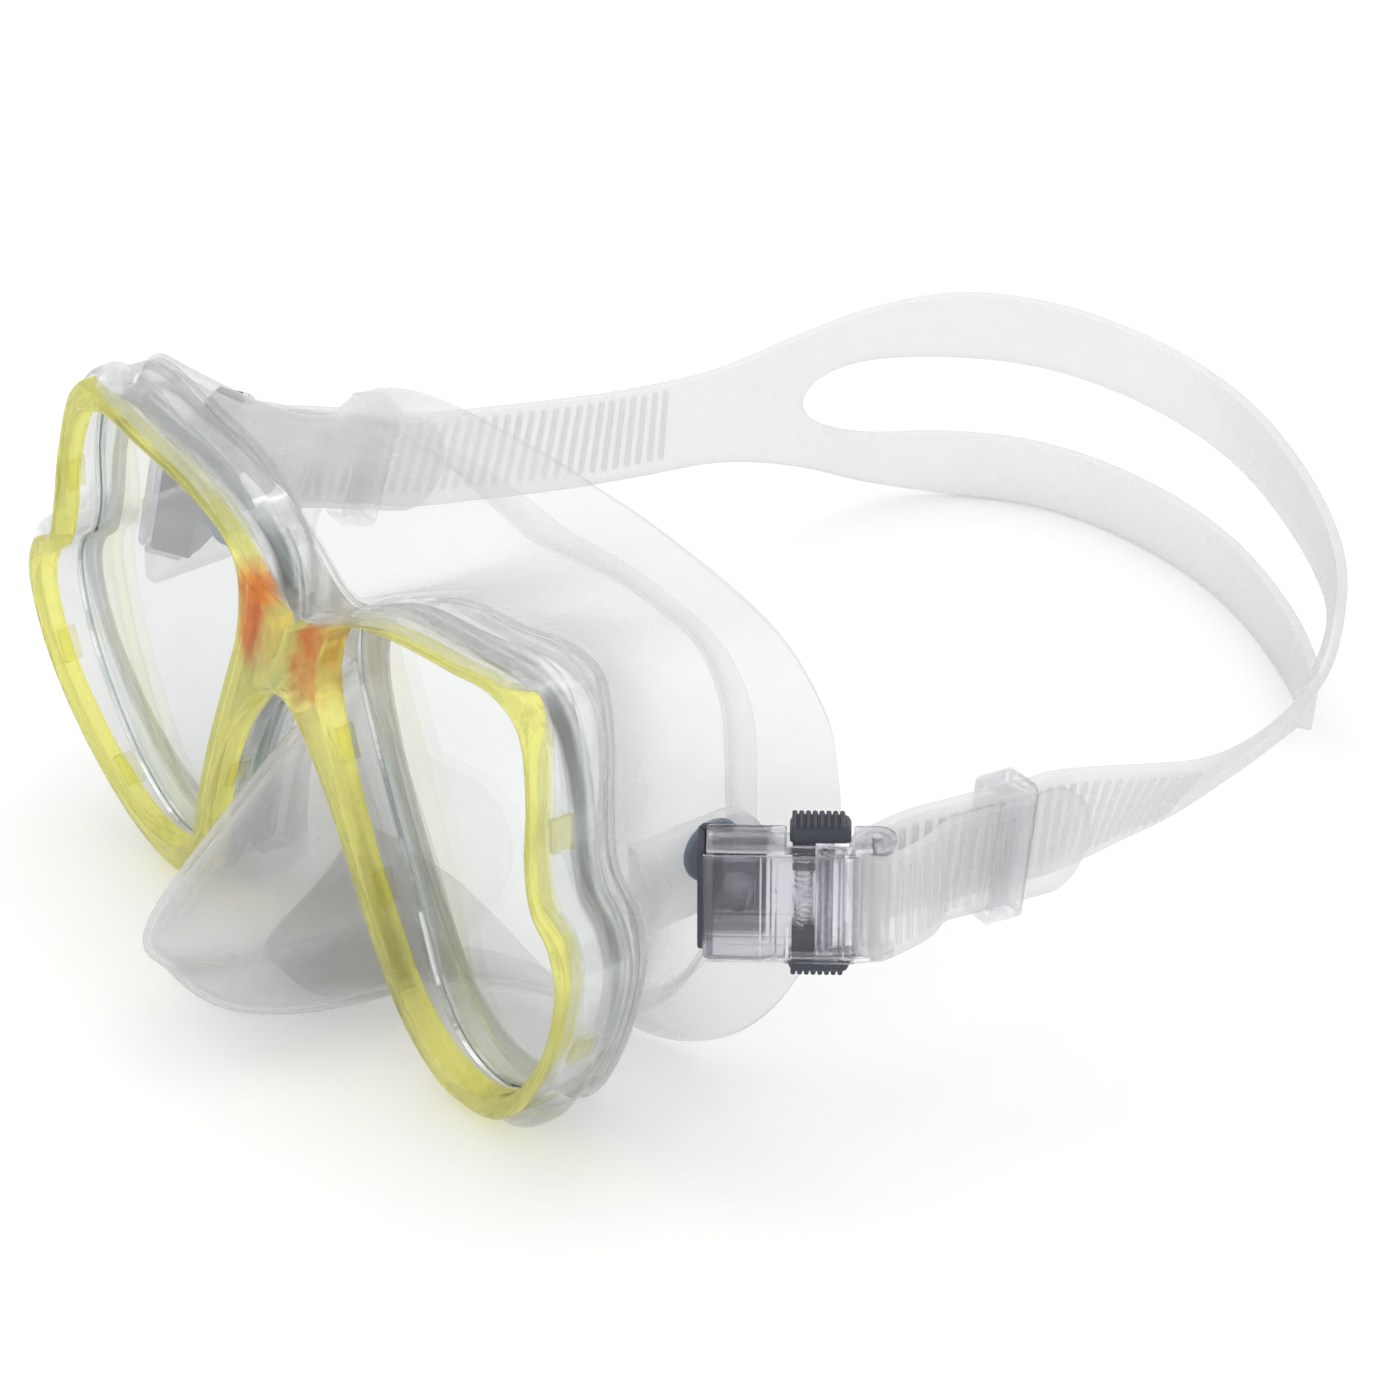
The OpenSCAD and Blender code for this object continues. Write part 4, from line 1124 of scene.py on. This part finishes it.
def make_strap():
    route = np.array(strap_route(), float)
    dense = 16
    raw = np.array([on_path(route, k / dense) for k in range((len(route) - 1) * dense + 1)])
    runs = np.concatenate([[0], np.cumsum(np.linalg.norm(np.diff(raw[:, :3], axis=0), axis=1))])
    total = runs[-1]
    places = list(np.arange(0, total, 1.6)) + [total]
    slot_ends = ((SLOT_FROM_LEFT, SLOT_END_LEFT, 1), (total - SLOT_FROM_RIGHT, SLOT_END_RIGHT, -1))
    for start, length, sign in slot_ends:
        places += [start + sign * length * (1 - math.cos(a)) for a in np.linspace(0, math.pi / 2, 22)]
    for tip, sign in ((0, 1), (total, -1)):
        places += [tip + sign * TIP_RUN * (1 - math.cos(a)) for a in np.linspace(0, math.pi / 2, 12)]
    places = np.array(sorted(p for p in places if 0 <= p <= total))
    places = places[np.concatenate([[True], np.diff(places) > 0.05])]
    line = np.stack([np.interp(places, runs, raw[:, k]) for k in range(6)], 1)
    tangent = np.gradient(line[:, :2], axis=0)
    tangent /= np.linalg.norm(tangent, axis=1, keepdims=True)
    out = np.stack([-tangent[:, 1], tangent[:, 0], np.zeros(len(line))], 1)
    lean, pitch = np.radians(line[:, 4]), np.radians(line[:, 5])
    rise = np.stack([np.zeros(len(line)), np.sin(pitch), np.cos(pitch)], 1)
    face = np.cos(lean)[:, None] * out + np.sin(lean)[:, None] * rise
    up = np.cos(lean)[:, None] * rise - np.sin(lean)[:, None] * out
    end_run = np.minimum(places, total - places)
    half = line[:, 3] * np.where(
        end_run < TIP_RUN, np.sqrt(np.maximum(0.02, 1 - (1 - end_run / TIP_RUN) ** 2)), 1)
    t = np.minimum((places - SLOT_FROM_LEFT) / SLOT_END_LEFT,
                   (total - places - SLOT_FROM_RIGHT) / SLOT_END_RIGHT)
    slot = np.where(t > 0, SLOT_HALF * np.sqrt(np.maximum(0, 1 - (1 - np.clip(t, 0, 1)) ** 2)), 0)
    rows = 7
    ease = [0.5 - 0.5 * math.cos(math.pi * k / rows) for k in range(rows + 1)]
    verts, faces = [], []
    stride = 2 * (rows + 1)
    for i in range(len(line)):
        for low, high in ((-half[i], -slot[i]), (slot[i], half[i])):
            for e in ease:
                verts.append(tuple(line[i, :3] + up[i] * (low + (high - low) * e)))
    for i in range(len(line) - 1):
        for band in (0, rows + 1):
            for k in range(rows):
                a = i * stride + band + k
                faces.append((a, a + 1, a + 1 + stride, a + stride))
    obj = new_object("strap_band", verts, faces, STRAP_SKIN)
    b = bmesh.new()
    b.from_mesh(obj.data)
    bmesh.ops.remove_doubles(b, verts=b.verts, dist=2e-5)
    b.to_mesh(obj.data)
    b.free()
    m = obj.modifiers.new("wall", "SOLIDIFY")
    m.thickness = STRAP_THICK * MM * 0.92
    m.offset = 0
    m.use_even_offset = True
    apply_modifiers(obj)
    tidy(obj, 1e-7)
    bevel(obj, 0.55, 3, 50)
    # moulded cross ribs on both ends
    rib_places = [*np.arange(*TAIL_RIBS), *np.arange(*LEFT_RIBS)]
    rib_places += [total - s for s in (*np.arange(*TAIL_RIBS), *np.arange(*RIGHT_RIBS))]
    centres, turn = [], []
    for s in rib_places:
        at = np.array([np.interp(s, places, line[:, k]) for k in range(3)])
        f = np.array([np.interp(s, places, face[:, k]) for k in range(3)])
        u = np.array([np.interp(s, places, up[:, k]) for k in range(3)])
        f /= np.linalg.norm(f)
        u /= np.linalg.norm(u)
        # the strap's rippled face: outside on the tail, inside on the main run
        centres.append(at + f * 0.7 * (1 if min(s, total - s) < 50 else -1))
        e = Matrix((np.cross(f, u), f, u)).transposed().to_euler("XYZ")
        turn.append((e.x, e.y, e.z))
    centres = [tuple(c) for c in centres]
    ribs = repeat_bars("strap_ribs", centres, turn, 2 * STRAP_HALF - 4.0, 1.1, 0.95, RIB_SKIN)
    return join("split_strap", [obj, ribs])


# ---------------------------------------------------------------- the pieces
finish_piece(make_bezel(), "mask", "tinted_plastic", "bezel")
finish_piece(make_carrier(), "mask", "clear_plastic", "carrier_frame")
finish_piece(make_skirt(), "mask", "silicone", "skirt")
finish_piece(make_strap(), "harness", "silicone", "strap")
for side, end in SIDES:
    lens = make_lens(side)
    lens.name = f"glass_{end}"
    finish_piece(lens, "mask", "glass", f"lens_{end}")
    pieces = [
        (make_swivel_base(side), "harness", "dark_plastic", f"swivel_base_{end}", f"swivel_{end}"),
        (make_housing(side), "harness", "clear_plastic", f"housing_{end}", f"buckle_body_{end}"),
        (make_cover(side), "harness", "clear_plastic", f"cover_{end}", f"buckle_cover_{end}"),
        (make_pawl(side), f"pawl_{end}", "dark_plastic", f"pawl_{end}", f"strap_pawl_{end}"),
        (make_keeper(side), f"keeper_{end}", "clear_plastic", f"keeper_{end}", f"strap_keeper_{end}")]
    for s, level in LEVELS:
        button = f"button_{level}_{end}"
        pieces.append((make_button(side, s), button, "dark_plastic", button, f"release_{level}_{end}"))
    for s, level in LEVELS:
        coil = make_spring(side, s)
        pieces.append((coil, "harness", "steel", f"spring_{level}_{end}", f"coil_{level}_{end}"))
    for obj, body, slot_name, node, name in pieces:
        obj.name = name
        finish_piece(obj, body, slot_name, node)
for name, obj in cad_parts.items():
    if name.startswith(("pawl_pin", "roller_pin")):
        obj.data.materials.clear()
        obj.data.materials.append(STEEL)
    elif name.startswith("roller_"):
        obj.data.materials.clear()
        obj.data.materials.append(BUCKLE_CLEAR)

# ---------------------------------------------------------------- stage, lights and camera
def make_stage():
    f = Finish("pale_floor")
    tone = f.mix(f.remap(f.noise(3, 3), 0.3, 0.7, 0, 1), (0.93, 0.93, 0.935), (0.95, 0.95, 0.95))
    f.link(tone, f.p.inputs["Base Color"])
    f.p.inputs["Roughness"].default_value = 0.85
    f.p.inputs["Specular IOR Level"].default_value = 0.1
    low = cad_box[0][2] / MM - 0.3
    size = 3000
    corners = [(-size, -size, low), (size, -size, low), (size, size, low), (-size, size, low)]
    floor = new_object("floor", corners, [(0, 1, 2, 3)], f.m, smooth=False)


def make_lights():
    world = bpy.data.worlds.new("studio")
    bpy.context.scene.world = world
    world.use_nodes = True
    back = world.node_tree.nodes["Background"]
    back.inputs[0].default_value = (1.0, 1.0, 1.0, 1.0)
    back.inputs[1].default_value = 1.0
    lamps = (("key", (-0.35, -0.55, 0.75), 0.5, 1.2), ("fill", (0.8, -0.3, 0.45), 0.6, 0.7),
             ("top", (0.0, 0.25, 0.9), 0.7, 1.0))
    for name, where, size, power in lamps:
        lamp = bpy.data.lights.new(name, "AREA")
        lamp.size = size
        lamp.energy = power
        obj = bpy.data.objects.new(name, lamp)
        bpy.context.scene.collection.objects.link(obj)
        obj.location = where
        aim = Vector((0, 0.04, 0)) - Vector(where)
        obj.rotation_euler = aim.to_track_quat("-Z", "Y").to_euler()


def make_camera():
    azimuth, elevation, distance = math.radians(53.0), math.radians(31.4), 0.85
    target = Vector((0.036, 0.004, 0.012))
    level = math.cos(elevation)
    back = Vector((math.sin(azimuth) * level, -math.cos(azimuth) * level, math.sin(elevation)))
    right = Vector((math.cos(azimuth), math.sin(azimuth), 0))
    up = back.cross(right)
    camera = bpy.data.cameras.new("camera")
    camera.sensor_width = 36
    camera.lens = 36 * 5230 / 1374
    camera.clip_start, camera.clip_end = 0.01, 20
    obj = bpy.data.objects.new("camera", camera)
    bpy.context.scene.collection.objects.link(obj)
    turn = Matrix((right, up, back)).transposed().to_4x4()
    obj.matrix_world = Matrix.Translation(target + back * distance) @ turn
    bpy.context.scene.camera = obj


make_stage()
make_lights()
make_camera()
bpy.context.scene.view_settings.view_transform = "Standard"
